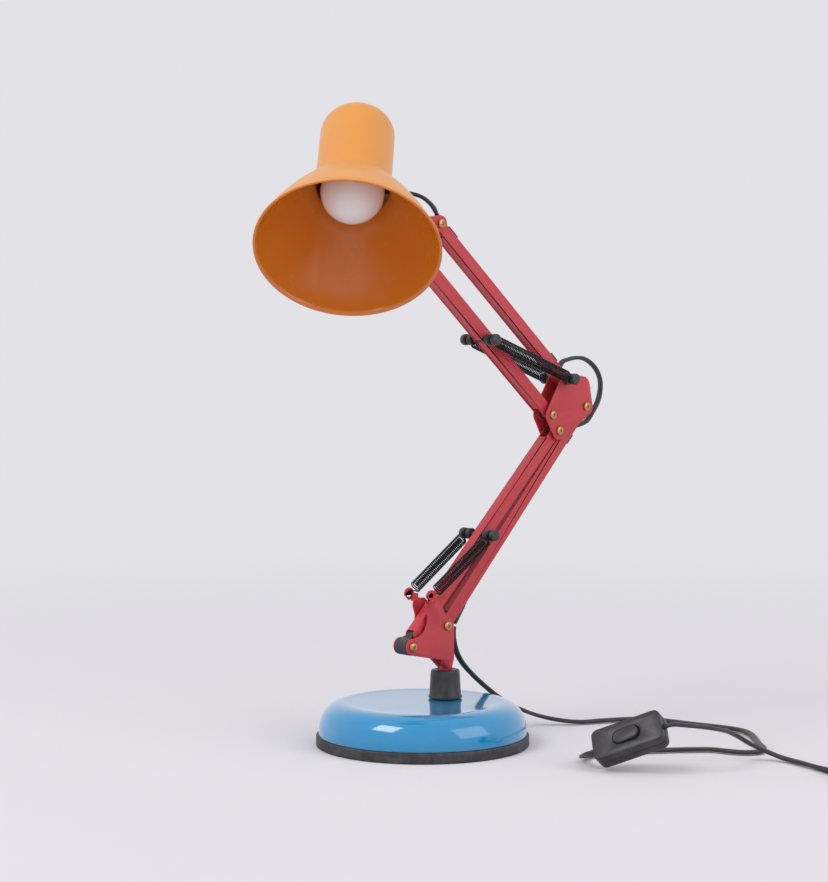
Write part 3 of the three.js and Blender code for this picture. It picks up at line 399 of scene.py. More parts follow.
def smooth_path(points: Sequence[Sequence[float]], spacing: float) -> list[Vector]:
    """Runs one smooth curve through points, as the CAD tube's own curve does.

    Args:
        points: The points in metres.
        spacing: Rough distance between the curve's samples.

    Returns:
        The samples, the first and last points among them.
    """
    given = [Vector(p) for p in points]
    padded = [2 * given[0] - given[1], *given, 2 * given[-1] - given[-2]]
    samples: list[Vector] = []
    for i in range(1, len(padded) - 2):
        p = padded[i - 1:i + 3]
        t = [0.0]
        for a, b in zip(p, p[1:]):
            t.append(t[-1] + max(1e-9, math.sqrt((b - a).length)))
        count = max(1, round((p[2] - p[1]).length / spacing))
        for k in range(count):
            u = t[1] + (t[2] - t[1]) * k / count
            a1 = p[0].lerp(p[1], (u - t[0]) / (t[1] - t[0]))
            a2 = p[1].lerp(p[2], (u - t[1]) / (t[2] - t[1]))
            a3 = p[2].lerp(p[3], (u - t[2]) / (t[3] - t[2]))
            b1 = a1.lerp(a2, (u - t[0]) / (t[2] - t[0]))
            b2 = a2.lerp(a3, (u - t[1]) / (t[3] - t[1]))
            samples.append(b1.lerp(b2, (u - t[1]) / (t[2] - t[1])))
    samples.append(given[-1])
    return samples


def length_of(path: Sequence[Vector]) -> float:
    """Adds up a path's length."""
    return sum((b - a).length for a, b in zip(path, path[1:]))


def twin_section(core: float, apart: float, steps: int = 9) -> list[tuple[float, float]]:
    """Draws the figure-of-eight section of a flat twin cord.

    Args:
        core: Radius of one core's sheath.
        apart: Half the distance between the cores.
        steps: Points round each core.

    Returns:
        (across, up) points round the section.
    """
    reach = math.pi - math.acos(apart / core)
    outline = []
    for side in (1, -1):
        for k in range(steps):
            a = -reach + 2 * reach * (k + 0.5) / steps
            outline.append((side * (apart + core * math.cos(a)), side * core * math.sin(a)))
    return outline


def sweep(
    shape: bmesh.types.BMesh,
    path: Sequence[Vector],
    section: Sequence[tuple[float, float]],
    turn_at: Callable[[float], float] | None = None,
    scale_at: Callable[[float], float] | None = None,
) -> None:
    """Adds a closed tube whose section follows a path, its wide way kept level.

    Args:
        shape: The mesh that gets it.
        path: The centre line.
        section: (across, up) points round the section.
        turn_at: Turn of the section in radians from the share of the path behind it.
        scale_at: Size of the section from the same share.
    """
    rings = []
    side = None
    for i, point in enumerate(path):
        tangent = (path[min(i + 1, len(path) - 1)] - path[max(i - 1, 0)]).normalized()
        level = tangent.cross(WORLD_UP)
        if side is None:
            side = level if level.length > 0.05 else Vector((0, 1, 0))
        elif level.dot(side) < 0:
            level = -level
        side = (side - tangent * side.dot(tangent)).normalized()
        side = (side * 0.35 + level).normalized()
        side = (side - tangent * side.dot(tangent)).normalized()
        up = side.cross(tangent)
        share = i / (len(path) - 1)
        turn = turn_at(share) if turn_at else 0.0
        size = scale_at(share) if scale_at else 1.0
        across = side * math.cos(turn) + up * math.sin(turn)
        over = up * math.cos(turn) - side * math.sin(turn)
        rings.append([shape.verts.new(point + (across * x + over * y) * size) for x, y in section])
    count = len(section)
    for low, high in zip(rings, rings[1:]):
        for k in range(count):
            n = (k + 1) % count
            shape.faces.new((low[k], low[n], high[n], high[k]))
    shape.faces.new(list(reversed(rings[0])))
    shape.faces.new(rings[-1])


def evaluated_copy(piece: bpy.types.Object) -> bpy.types.Mesh:
    """Makes a plain mesh of a piece with its modifiers and node trees worked out."""
    bpy.context.view_layer.update()
    graph = bpy.context.evaluated_depsgraph_get()
    return bpy.data.meshes.new_from_object(piece.evaluated_get(graph), depsgraph=graph)


def bake_modifiers(piece: bpy.types.Object, sharp: float = 35) -> None:
    """Replaces a piece's mesh by what its modifiers give, and removes them.

    Args:
        piece: The piece.
        sharp: Edges sharper than this many degrees stay crisp.
    """
    mesh = evaluated_copy(piece)
    piece.modifiers.clear()
    old, piece.data = piece.data, mesh
    bpy.data.meshes.remove(old)
    mesh.shade_smooth()
    mesh.set_sharp_from_angle(angle=math.radians(sharp))


def softened(
    node: str,
    name: str,
    finish: Finish,
    edge_mm: float = 0.25,
    fold_mm: float = 0.0,
    is_fold: Callable[[bmesh.types.BMEdge], bool] | None = None,
) -> bpy.types.Object:
    """Copies a CAD node and rounds its edges the way that a real piece's are.

    Args:
        node: The CAD node.
        name: The new piece's name.
        finish: Its finish.
        edge_mm: Rounding of a cut edge.
        fold_mm: Rounding of a fold.
        is_fold: Says which edges are folds.

    Returns:
        The new piece, not yet riding on anything.
    """
    shape = bmesh.new()
    shape.from_mesh(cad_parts[node].data)
    bmesh.ops.remove_doubles(shape, verts=shape.verts, dist=0.01 * MM)
    bmesh.ops.dissolve_limit(
        shape, angle_limit=math.radians(0.6), verts=shape.verts, edges=shape.edges
    )
    bmesh.ops.dissolve_degenerate(shape, dist=0.03 * MM, edges=shape.edges)
    weights = shape.edges.layers.float.new("bevel_weight_edge")
    widest = max(edge_mm, fold_mm)
    for edge in shape.edges:
        if len(edge.link_faces) != 2 or edge.calc_face_angle(0) < math.radians(32):
            continue
        fold = bool(is_fold and is_fold(edge))
        edge[weights] = (fold_mm if fold else edge_mm) / widest
    piece = add_object(name, shape, [finish])
    bevel = piece.modifiers.new("edges", "BEVEL")
    bevel.width = widest * MM
    bevel.segments = 3 if fold_mm else 2
    bevel.limit_method = "WEIGHT"
    bevel.use_clamp_overlap = False
    bevel.miter_outer = "MITER_ARC"
    bake_modifiers(piece)
    return piece


# ---------------------------------------------------------------- shared places
FOOT_MAIN = Vector((19.5, 0, 93.7)) * MM
FOOT_GUIDE = Vector((-17.6, 0, 80.0)) * MM
ELBOW_MAIN = Vector((179.7, 0, 265.9)) * MM
ELBOW_UPPER = Vector((139.1, 0, 259.7)) * MM
ELBOW_LOWER = Vector((147.1, 0, 246.5)) * MM
HEAD_MAIN = Vector((12.6, 0, 413.9)) * MM
HEAD_GUIDE = ELBOW_UPPER + HEAD_MAIN - ELBOW_MAIN
LOWER_PIN = Vector((62, 0, 164)) * MM
UPPER_PIN = Vector((63.3, 0, 322.3)) * MM
ELBOW_STUD = Vector((155.5, 0, 289.5)) * MM
HOOK = Vector((-3, 0, 119.5)) * MM
STEM_X_MM = 24.5
PLATE_OUT_MM = 7.9
SPRING_Y_MM = 14.0
HOOK_Y_MM = 13.0


def on_bar(start: Vector, end: Vector, along_mm: float, offset_mm: float) -> list[float]:
    """Gives a place beside a bar.

    Args:
        start: The bar's first pivot.
        end: Its second pivot.
        along_mm: Distance from the first pivot.
        offset_mm: Offset toward the bar's closed side.

    Returns:
        The place in metres.
    """
    way = (end - start).normalized()
    across = Vector((-way.z, 0, way.x))
    return list(start + way * along_mm * MM + across * offset_mm * MM)


def shade_frame() -> Matrix:
    """Gives the shade's frame: z from the rim to the cap, x from its axis to the tilt bolt."""
    tilt = Vector((-32.5, 0, 425.7)) * MM
    swivel = math.radians(28.7)
    to_bolt = Vector((0.829, 0, -0.559)).normalized()
    axis = Vector((-to_bolt.z, 0, to_bolt.x)) * math.cos(swivel) + Vector((0, math.sin(swivel), 0))
    side = axis.cross(to_bolt)
    origin = tilt - to_bolt * 46 * MM - axis * 86 * MM
    turn = Matrix((to_bolt, side, axis)).transposed().to_4x4()
    return Matrix.Translation(origin) @ turn


def switch_frame() -> Matrix:
    """Gives the switch's frame: x along it, z out of its face, one lower corner on the floor."""
    turn = (
        Matrix.Rotation(math.radians(-61.8), 4, "Z")
        @ Matrix.Rotation(math.radians(-22), 4, "Y")
        @ Matrix.Rotation(math.radians(50.9), 4, "X")
    )
    corner = turn @ (Vector((-28, -13, -7.5)) * MM)
    return Matrix.Translation(Vector((27.8, -169.6, 0.5)) * MM - corner) @ turn


SHADE = shade_frame()
SWITCH = switch_frame()


# ---------------------------------------------------------------- stage
def add_camera() -> None:
    """Adds the camera, long in the lens and almost level with the lamp."""
    lens = bpy.data.cameras.new("camera")
    lens.lens = 93.48
    lens.sensor_width = 36
    lens.sensor_fit = "HORIZONTAL"
    lens.clip_start, lens.clip_end = 0.05, 50
    camera = bpy.data.objects.new("camera", lens)
    camera.location = (-1.14452, -1.26083, 0.32010)
    camera.rotation_mode = "QUATERNION"
    camera.rotation_quaternion = Vector((0.66843, 0.74236, -0.04585)).to_track_quat("-Z", "Y")
    bpy.context.scene.collection.objects.link(camera)
    bpy.context.scene.camera = camera


@dataclass
class Studio:
    """Pale floor, even sky and soft lamps.

    Attributes:
        sky: Colour of the surroundings, sRGB hex.
        floor_reach: Where the floor has melted into the surroundings, in metres.
    """

    sky: str = "#e3e2e7"
    floor_reach: float = 1.6

    def floor_material(self) -> bpy.types.Material:
        """Makes a matt pale floor that melts into the surroundings far from the lamp."""
        material = bpy.data.materials.new("studio_floor")
        material.use_nodes = True
        tree = material.node_tree
        tree.nodes.clear()
        place = add_node(tree, "ShaderNodeTexCoord").outputs["Object"]
        far = add_node(tree, "ShaderNodeVectorMath", {"operation": "LENGTH"}, {0: place}).outputs["Value"]
        share = add_node(
            tree, "ShaderNodeMapRange",
            {"From Min": 0.35, "From Max": self.floor_reach, "interpolation_type": "SMOOTHSTEP"},
            {"Value": far},
        ).outputs["Result"]
        paper = add_node(
            tree, "ShaderNodeBsdfDiffuse", {"Color": linear("#dedddf"), "Roughness": 0.5}
        ).outputs["BSDF"]
        glow = add_node(tree, "ShaderNodeEmission", {"Color": linear(self.sky), "Strength": 1.0}).outputs[0]
        blend = add_node(tree, "ShaderNodeMixShader", links={0: share, 1: paper, 2: glow})
        add_node(tree, "ShaderNodeOutputMaterial", links={"Surface": blend.outputs[0]})
        return material

    def add_floor(self) -> None:
        """Adds the floor as a wide disc just under the lamp."""
        shape = bmesh.new()
        bmesh.ops.create_circle(shape, cap_ends=True, radius=9, segments=96)
        for vertex in shape.verts:
            vertex.co.z = -0.2 * MM
        mesh = bpy.data.meshes.new("floor")
        shape.to_mesh(mesh)
        shape.free()
        mesh.materials.append(self.floor_material())
        floor = bpy.data.objects.new("floor", mesh)
        bpy.context.scene.collection.objects.link(floor)

    def add_lamp(self, name: str, place: tuple, aim: tuple, size: float, power: float) -> None:
        """Adds one soft lamp.

        Args:
            name: Its name.
            place: Where it stands.
            aim: What it points at.
            size: Width of its square face.
            power: Its power in watts.
        """
        light = bpy.data.lights.new(name, "AREA")
        light.size = size
        light.energy = power
        lamp = bpy.data.objects.new(name, light)
        lamp.location = place
        lamp.rotation_mode = "QUATERNION"
        lamp.rotation_quaternion = (Vector(aim) - Vector(place)).to_track_quat("-Z", "Y")
        bpy.context.scene.collection.objects.link(lamp)

    def build(self) -> None:
        """Sets the surroundings, the floor and the lamps."""
        world = bpy.data.worlds.new("surroundings")
        world.use_nodes = True
        tree = world.node_tree
        tree.nodes.clear()
        sky = add_node(tree, "ShaderNodeBackground", {"Color": linear(self.sky), "Strength": 1.0})
        add_node(tree, "ShaderNodeOutputWorld", links={"Surface": sky.outputs[0]})
        bpy.context.scene.world = world
        bpy.context.scene.view_settings.view_transform = "Standard"
        self.add_floor()
        self.add_lamp("key_light", (-1.5, 0.1, 1.7), (0.05, 0, 0.2), 0.9, 14)
        self.add_lamp("fill_light", (0.5, -1.6, 1.0), (0.05, 0, 0.2), 1.2, 6)


# ---------------------------------------------------------------- cords
@dataclass
class TwinCord:
    """A length of flat twin cord, 5.4 mm wide and 3.2 mm thick.

    Attributes:
        name: The piece's name.
        points: What its centre line runs through, in metres.
        nodes: The CAD nodes that it stands for.
        closeness: Distance between samples.
        turn_at: Turn of its wide way from level, from the share of its length.
    """

    name: str
    points: Sequence[Sequence[float]]
    nodes: Sequence[str]
    closeness: float = 2.0 * MM
    turn_at: Callable[[float], float] | None = None
    width: float = 5.4 * MM
    core: float = 1.6 * MM
    path: list[Vector] = field(default_factory=list)

    def build(self) -> bpy.types.Object:
        """Builds the cord's mesh.

        Returns:
            The cord, not yet riding on anything.
        """
        self.path = smooth_path(self.points, self.closeness)
        shape = bmesh.new()
        sweep(shape, self.path, twin_section(self.core, self.width / 2 - self.core), self.turn_at)
        cord = add_object(self.name, shape, [BLACK_PVC], sharp=60)
        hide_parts(*self.nodes)
        return cord

    def declare(self, cord: bpy.types.Object, far_end: str, lay: str, pieces: Sequence = ()) -> None:
        """Args:
            cord: The cord's piece.
            far_end: What is on its far end; not used.
            lay: How it lies; not used.
            pieces: The separate pieces on it; not used.
        """
        LOG.info("%s is %.3f m long", cord.name, length_of(self.path))


# From the lower arm down over the floor to the switch.
LEAD_MM = (
    (33.5, 0, 91.4), (33.2, 0, 85.5), (34.3, 0, 78), (37.5, 0.4, 70), (43.7, 1, 61.3),
    (55.1, 1.2, 50.5), (69.5, 1.2, 39.2), (86.3, 2, 28), (108.5, 1.3, 16.2), (132, -6.5, 6.8),
    (153, -22.5, 2.6), (174, -32, 2.4), (194, -41, 2.4), (208, -54, 2.4), (215, -72, 2.4),
    (218.5, -92, 2.4), (223, -110, 2.4), (226, -125, 2.4), (226, -140, 2.4), (218, -156, 2.4),
    (203, -173, 2.4), (188, -189, 2.4), (177, -202, 2.4), (165, -208, 2.4), (154, -203, 2.4),
    (148, -191, 2.4), (144, -178, 2.4), (131, -166, 2.4), (107, -150, 2.4), (84, -137, 2.4),
    (68, -131, 2.4), (53, -131, 2.6), (41, -136.5, 4.2), (32.5, -146, 7),
)
# From the switch's raised end down over the lead to the coil.
TAIL_MM = (
    (64.6, -223.3, 36.7), (75, -227, 34.9), (89.9, -227, 31.6), (110.9, -221.1, 26.3),
    (127.7, -218, 19.7), (138, -219.4, 13.8), (144.7, -222.8, 10), (150.1, -228.1, 6.7),
    (154.1, -236.6, 3.6), (155.1, -245.4, 2.4), (152.9, -256.6, 2.4), (150.1, -268.1, 2.4),
    (146.2, -280.4, 2.4), (143, -290.1, 2.6), (138.7, -303.5, 3.4),
)


@dataclass
class CordSet:
    """Every run of cord, and the coil, tie and plug at its end."""

    coil_at: tuple[float, float] = (162 * MM, -338 * MM)
    coil_outer: float = 36.0 * MM
    turns: float = 4.4306
    first_turn: float = math.radians(152)
    pitch: float = 3.9 * MM
    low_layer: float = 4.3 * MM
    high_layer: float = 9.9 * MM

    def coil_points(self) -> list[list[float]]:
        """Winds the coil on edge: a lower layer inward, then an upper layer outward."""
        points = []
        per_turn = 16
        count = round(self.turns * per_turn)
        for k in range(count + 1):
            turned = self.turns * k / count
            half = self.turns / 2
            depth = turned if turned < half else self.turns - turned
            radius = self.coil_outer - self.pitch * depth + 0.25 * MM * math.sin(5 * turned)
            rise = min(1.0, max(0.0, (turned - half) / 0.4 + 0.5))
            rise = rise * rise * (3 - 2 * rise)
            angle = self.first_turn + math.tau * turned
            points.append([
                self.coil_at[0] + radius * math.cos(angle),
                self.coil_at[1] + radius * math.sin(angle),
                self.low_layer + (self.high_layer - self.low_layer) * rise,
            ])
        return points

    def add_tail(self, parts: dict[str, bpy.types.Object]) -> None:
        """Adds the tail, the coil and the run to the plug as one cord.

        Args:
            parts: Gets the cord by name.
        """
        out = Vector((math.cos(math.radians(37)), math.sin(math.radians(37)), 0))
        coil = self.coil_points()
        leave = Vector(coil[-1])
        plug_start = Vector((202.3, -352.7, 7.05)) * MM
        points = [SWITCH @ (Vector((x, 0, 0)) * MM) for x in (27, 34)]
        points += [Vector(p) * MM for p in TAIL_MM]
        points += [Vector(p) for p in coil]
        middle = leave.lerp(plug_start, 0.5)
        middle.z = (leave.z + plug_start.z) / 2 - 0.2 * MM
        points += [middle, plug_start - out * 3 * MM, plug_start + out * 2 * MM]
        before = length_of(smooth_path([Vector(p) for p in points[:17]], 2 * MM))
        whole = length_of(smooth_path(points, 2 * MM))
        start, stop = (before - 0.055) / whole, (before + 0.012) / whole
        last, end = (whole - 0.045) / whole, (whole - 0.006) / whole

        def on_edge(share: float) -> float:
            """Turns the cord on edge for the coil and flat again for the plug."""
            rise = min(1.0, max(0.0, (share - start) / (stop - start)))
            fall = min(1.0, max(0.0, (share - last) / (end - last)))
            return math.pi / 2 * (rise * rise * (3 - 2 * rise) - fall * fall * (3 - 2 * fall))

        self.tail = TwinCord("cord_tail_and_coil", points, ["cord_tail", "cord_coil"], turn_at=on_edge)
        cord = self.tail.build()
        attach(cord, "base")
        parts["tail"] = cord

    def add_tie(self, parts: dict[str, bpy.types.Object]) -> None:
        """Adds the flat tie that holds the coil together.

        Args:
            parts: Gets the tie by name.
        """
        turn = math.radians(217)
        out = Vector((math.cos(turn), math.sin(turn), 0))
        along = Vector((-math.sin(turn), math.cos(turn), 0))
        centre = Vector((*self.coil_at, 0)) + out * 30.3 * MM + Vector((0, 0, 7.1 * MM))
        half_w, half_h, corner = 10.2 * MM, 6.5 * MM, 2.2 * MM
        shape = bmesh.new()
        loops = []
        for thick in (0.0, 0.8 * MM):
            for edge in (-2.4 * MM, 2.4 * MM):
                ring = []
                for k in range(40):
                    a = math.tau * k / 40
                    x = math.copysign(abs(math.cos(a)) ** 0.45, math.cos(a)) * (half_w + thick)
                    z = math.copysign(abs(math.sin(a)) ** 0.45, math.sin(a)) * (half_h + thick)
                    ring.append(shape.verts.new(centre + out * x + Vector((0, 0, z)) + along * edge))
                loops.append(ring)
        inner0, inner1, outer0, outer1 = loops
        for k in range(40):
            n = (k + 1) % 40
            shape.faces.new((outer0[k], outer1[k], outer1[n], outer0[n]))
            shape.faces.new((inner0[n], inner1[n], inner1[k], inner0[k]))
            shape.faces.new((outer1[k], inner1[k], inner1[n], outer1[n]))
            shape.faces.new((inner0[k], outer0[k], outer0[n], inner0[n]))
        tie = add_object("coil_tie_strap", shape, [BLACK_RUBBER], sharp=50)
        parts["tie"] = settle(tie, "base", ["coil_tie"])

    def add_lead(self, parts: dict[str, bpy.types.Object]) -> None:
        """Adds the lead from the lower arm to the switch.

        Args:
            parts: Gets the cord by name.
        """
        points = [Vector(p) * MM for p in LEAD_MM]
        points += [SWITCH @ (Vector((x, 0, 0)) * MM) for x in (-34.5, -27)]
        self.lead = TwinCord("cord_to_switch", points, ["cord_lead"])
        cord = self.lead.build()
        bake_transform(cord)
        parts["lead"] = cord

    def add_arm_runs(self) -> None:
        """Adds the cord inside both arms and the two loops that cross the elbow and the head."""
        upper_mm = (HEAD_MAIN - ELBOW_MAIN).length / MM
        lower_mm = (ELBOW_MAIN - FOOT_MAIN).length / MM

        def upper(along: float, offset: float) -> list[float]:
            """Gives a place beside the upper main bar."""
            return on_bar(ELBOW_MAIN, HEAD_MAIN, along, offset)

        def lower(along: float, offset: float) -> list[float]:
            """Gives a place beside the lower main bar."""
            return on_bar(FOOT_MAIN, ELBOW_MAIN, along, offset)

        upper_run = TwinCord("cord_in_upper_arm", [
            upper(46, -4.2), upper(80, -3.8), upper(120, -3.4), upper(160, -3), upper(upper_mm - 20, -2.8),
        ], ["cord_upper_arm"])
        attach(upper_run.build(), "upper_main")
        lower_run = TwinCord("cord_in_lower_arm", [
            lower(10, -10.6), lower(24, -8.6), lower(42, -5.2), lower(60, -3.6), lower(110, -3.2),
            lower(160, -3.1), lower(lower_mm - 26, -3),
        ], ["cord_lower_arm"])
        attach(lower_run.build(), "lower_main")

        gland = math.radians(38)

        def off_gland(reach_mm: float) -> Vector:
            """Gives a place straight out of the cord gland."""
            radius = (29 + reach_mm) * MM
            return SHADE @ Vector((radius * math.cos(gland), radius * math.sin(gland), 118 * MM))

        head_mm = (
            (15.2, 1, 422.8), (14.8, 3, 426.5), (13.2, 6, 430.5), (9.8, 10.5, 435), (4, 17, 438.2),
            (-4, 25.5, 439), (-14, 34, 437.5), (-24, 40.5, 436),
        )
        head_run = TwinCord("cord_loop_at_head", [
            upper(upper_mm - 19.4, -2.9), upper(upper_mm - 10, -4), upper(upper_mm - 1, -5.9),
            *(Vector(p) * MM for p in head_mm), off_gland(17), off_gland(9.1),
        ], ["cord_head"])
        loop = head_run.build()
        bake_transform(loop)
        head_run.declare(loop, "object", "loose")

        elbow_mm = (
            (159, 1, 303.4), (168, 2, 305.8), (177, 2.5, 307), (186, 2.5, 306.5), (194, 2, 303.2),
            (201, 1, 296.8), (204.8, 0, 288), (204.8, 0, 278), (201.5, 0, 269), (195, 0, 260.5),
            (188, 0, 253.2),
        )
        elbow_run = TwinCord("cord_loop_at_elbow", [
            upper(45.4, -4.3), upper(41, -5.6), *(Vector(p) * MM for p in elbow_mm),
            lower(lower_mm - 20.5, -4.6), lower(lower_mm - 25.3, -3.1),
        ], ["cord_elbow"])
        loop = elbow_run.build()
        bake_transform(loop)
        elbow_run.declare(loop, "object", "loose")

    def build(self) -> dict[str, bpy.types.Object]:
        """Builds every run.

        Returns:
            The free cords and the tie by name.
        """
        parts: dict[str, bpy.types.Object] = {}
        self.add_lead(parts)
        self.add_tail(parts)
        self.add_tie(parts)
        self.add_arm_runs()
        return parts


# ---------------------------------------------------------------- base
@dataclass
class Base:
    """Weighted base: blue dished shell, rubber ring, and the socket that the lamp turns in."""

    shell_r: float = 83 * MM
    shell_top: float = 34.4 * MM
    plateau_r: float = 62 * MM
    ring_h: float = 8.5 * MM
    ring_r: float = 85 * MM

    def shell(self) -> bpy.types.Object:
        """Builds the shell, a spun steel dish with a rolled shoulder."""
        low = self.ring_h + 0.3 * MM
        outer = [(self.shell_r, low), (self.shell_r, low + 1.8 * MM)]
        steps = 30
        rise = self.shell_top - low - 3.7 * MM
        for k in range(steps + 1):
            a = math.pi / 2 * k / steps
            outer.append((
                self.plateau_r + (self.shell_r - self.plateau_r) * math.cos(a) ** 0.85,
                low + 3.7 * MM + rise * math.sin(a),
            ))
        # A narrow rolled lip, then the flat of the dish.
        outer += [
            (self.plateau_r - 1.2 * MM, self.shell_top - 0.02 * MM),
            (self.plateau_r - 2.6 * MM, self.shell_top - 0.16 * MM),
            (self.plateau_r - 5 * MM, self.shell_top - 0.3 * MM),
            (self.plateau_r * 0.7, self.shell_top - 0.42 * MM), (0, self.shell_top - 0.5 * MM),
        ]
        inner = [(max(0, r - MM), max(low, z - MM * (0.2 if r > self.plateau_r + 8 * MM else 1))) for r, z in outer]
        inner[-1] = (0, self.shell_top - 1.5 * MM)
        shape = bmesh.new()
        lathe(shape, list(reversed(outer)) + inner, Matrix.Identity(4), 192)
        return settle(add_object("base_shell_enamel", shape, [BLUE_ENAMEL], 60), "base", ["base_shell"])

    def ring(self) -> bpy.types.Object:
        """Builds the rubber ring that the shell sits in."""
        inside = self.ring_r - 6 * MM
        rounded = [
            (self.ring_r - 1.2 * MM * (1 - math.sin(a)), 1.2 * MM * (1 - math.cos(a)))
            for a in (math.pi / 2 * k / 5 for k in range(6))
        ]
        rounded += [(r, self.ring_h - z) for r, z in reversed(rounded)]
        profile = [
            (inside, 0),
            *rounded,
            (self.shell_r - 5 * MM, self.ring_h),
            (self.shell_r - 5 * MM, self.ring_h - 2 * MM),
            (inside, self.ring_h - 2 * MM),
        ]
        shape = bmesh.new()
        lathe(shape, profile, Matrix.Identity(4), 192)
        return settle(add_object("base_ring_rubber", shape, [BLACK_RUBBER], 40), "base", ["base_ring"])

    def socket(self) -> bpy.types.Object:
        """Builds the moulded socket, a tapered collar with a rounded top edge."""
        z0 = self.shell_top + 0.3 * MM
        bore, shank = 6.05 * MM, 9 * MM
        profile = [
            (bore, 2.8 * MM), (shank, 2.8 * MM), (shank, z0), (13.1 * MM, z0), (13.5 * MM, z0 + 0.4 * MM),
            (13.5 * MM, z0 + 1.6 * MM), (13.1 * MM, z0 + 2.0 * MM), (12.7 * MM, z0 + 2.6 * MM),
            (11.7 * MM, 55.4 * MM), (11.5 * MM, 56.3 * MM), (11.0 * MM, 57.1 * MM), (10.2 * MM, 57.5 * MM),
            (7.4 * MM, 57.5 * MM), (6.6 * MM, 57.2 * MM), (bore, 56.4 * MM),
        ]
        shape = bmesh.new()
        lathe(shape, profile, Matrix.Translation((STEM_X_MM * MM, 0, 0)), 72)
        return settle(add_object("stem_socket_moulded", shape, [BLACK_ABS], 35), "base", ["stem_socket"])

    def build(self) -> None:
        """Builds the base's pieces."""
        self.shell()
        self.ring()
        self.socket()


# ---------------------------------------------------------------- screws
def screw_mesh() -> bpy.types.Object:
    """Makes one pan-head screw with a cross recess, its shank and its nut.

    Returns:
        The screw with its head facing -Y and its middle at the origin.
    """
    turn = Matrix.Rotation(math.pi / 2, 4, "X")
    shape = bmesh.new()
    base = (PLATE_OUT_MM + 0.3) * MM
    head = [(1.7 * MM, base), (3.6 * MM, base), (3.6 * MM, base + 0.8 * MM)]
    for k in range(1, 7):
        a = math.pi / 2 * k / 6
        head.append((3.6 * MM * math.cos(a), base + 0.8 * MM + 1.2 * MM * math.sin(a)))
    head[-1] = (0, base + 2.0 * MM)
    lathe(shape, [(0, -base), (1.7 * MM, -base), *head], turn, 32)
    screw = add_object("screw_template", shape, [YELLOW_ZINC], 40)
    cutter = bmesh.new()
    for wide, deep in ((2.1, 0.42), (0.42, 2.1)):
        corners = []
        for level, share in ((base + 0.9 * MM, 0.55), (base + 2.6 * MM, 1.15)):
            for x, y in ((-1, -1), (1, -1), (1, 1), (-1, 1)):
                corners.append(cutter.verts.new(turn @ Vector((x * wide * share * MM, y * deep * share * MM, level))))
        low, high = corners[:4], corners[4:]
        cutter.faces.new(list(reversed(low)))
        cutter.faces.new(high)
        for k in range(4):
            n = (k + 1) % 4
            cutter.faces.new((low[k], low[n], high[n], high[k]))
    recess = add_object("screw_recess", cutter, [YELLOW_ZINC])
    cut = screw.modifiers.new("recess", "BOOLEAN")
    cut.operation = "DIFFERENCE"
    cut.object = recess
    cut.solver = "EXACT"
    cut.use_self = True
    bake_modifiers(screw, 30)
    bpy.data.objects.remove(recess)
    nut = bmesh.new()
    nut.from_mesh(screw.data)
    start = -(PLATE_OUT_MM + 0.3) * MM
    profile = [(0, start - 3.0 * MM), (1.6 * MM, start - 3.0 * MM), (1.7 * MM, start - 2.2 * MM), (2.9 * MM, start - 2.2 * MM), (3.2 * MM, start - 1.9 * MM), (3.2 * MM, start), (0, start)]
    lathe(nut, profile, turn, 6)
    nut.to_mesh(screw.data)
    nut.free()
    return screw


def screw_tree(screw: bpy.types.Object) -> bpy.types.NodeTree:
    """Builds the node tree that sets a screw at each point of a mesh.

    Args:
        screw: The screw to repeat.

    Returns:
        The tree, with inputs for the points, the screw, its size and how far each is turned.
    """
    tree = bpy.data.node_groups.new("screws_at_pivots", "GeometryNodeTree")
    tree.interface.new_socket("Pivots", in_out="INPUT", socket_type="NodeSocketGeometry")
    tree.interface.new_socket("Screw", in_out="INPUT", socket_type="NodeSocketObject")
    tree.interface.new_socket("Size", in_out="INPUT", socket_type="NodeSocketFloat")
    tree.interface.new_socket("Most Turn", in_out="INPUT", socket_type="NodeSocketFloat")
    tree.interface.new_socket("Screws", in_out="OUTPUT", socket_type="NodeSocketGeometry")
    given = add_node(tree, "NodeGroupInput")
    shape = add_node(tree, "GeometryNodeObjectInfo", links={"Object": given.outputs["Screw"]})
    spin = add_node(
        tree, "FunctionNodeRandomValue", {"data_type": "FLOAT", "Seed": 11},
        {3: given.outputs["Most Turn"]},
    )
    turn = add_node(tree, "ShaderNodeCombineXYZ", links={"Y": spin.outputs[1]})
    set_down = add_node(
        tree, "GeometryNodeInstanceOnPoints",
        links={
            "Points": given.outputs["Pivots"], "Instance": shape.outputs["Geometry"],
            "Rotation": turn.outputs[0], "Scale": given.outputs["Size"],
        },
    )
    real = add_node(tree, "GeometryNodeRealizeInstances", links={"Geometry": set_down.outputs[0]})
    dressed = add_node(
        tree, "GeometryNodeSetMaterial", {"Material": material_of(YELLOW_ZINC)},
        {"Geometry": real.outputs[0]},
    )
    add_node(tree, "NodeGroupOutput", links={"Screws": dressed.outputs[0]})
    return tree


def set_inputs(modifier: bpy.types.Modifier, values: dict) -> None:
    """Sets a node modifier's inputs by their sockets' identifiers.

    Args:
        modifier: The modifier, its tree already chosen.
        values: Values by input name.
    """
    for item in modifier.node_group.interface.items_tree:
        if item.item_type == "SOCKET" and item.in_out == "INPUT" and item.name in values:
            modifier[item.identifier] = values[item.name]


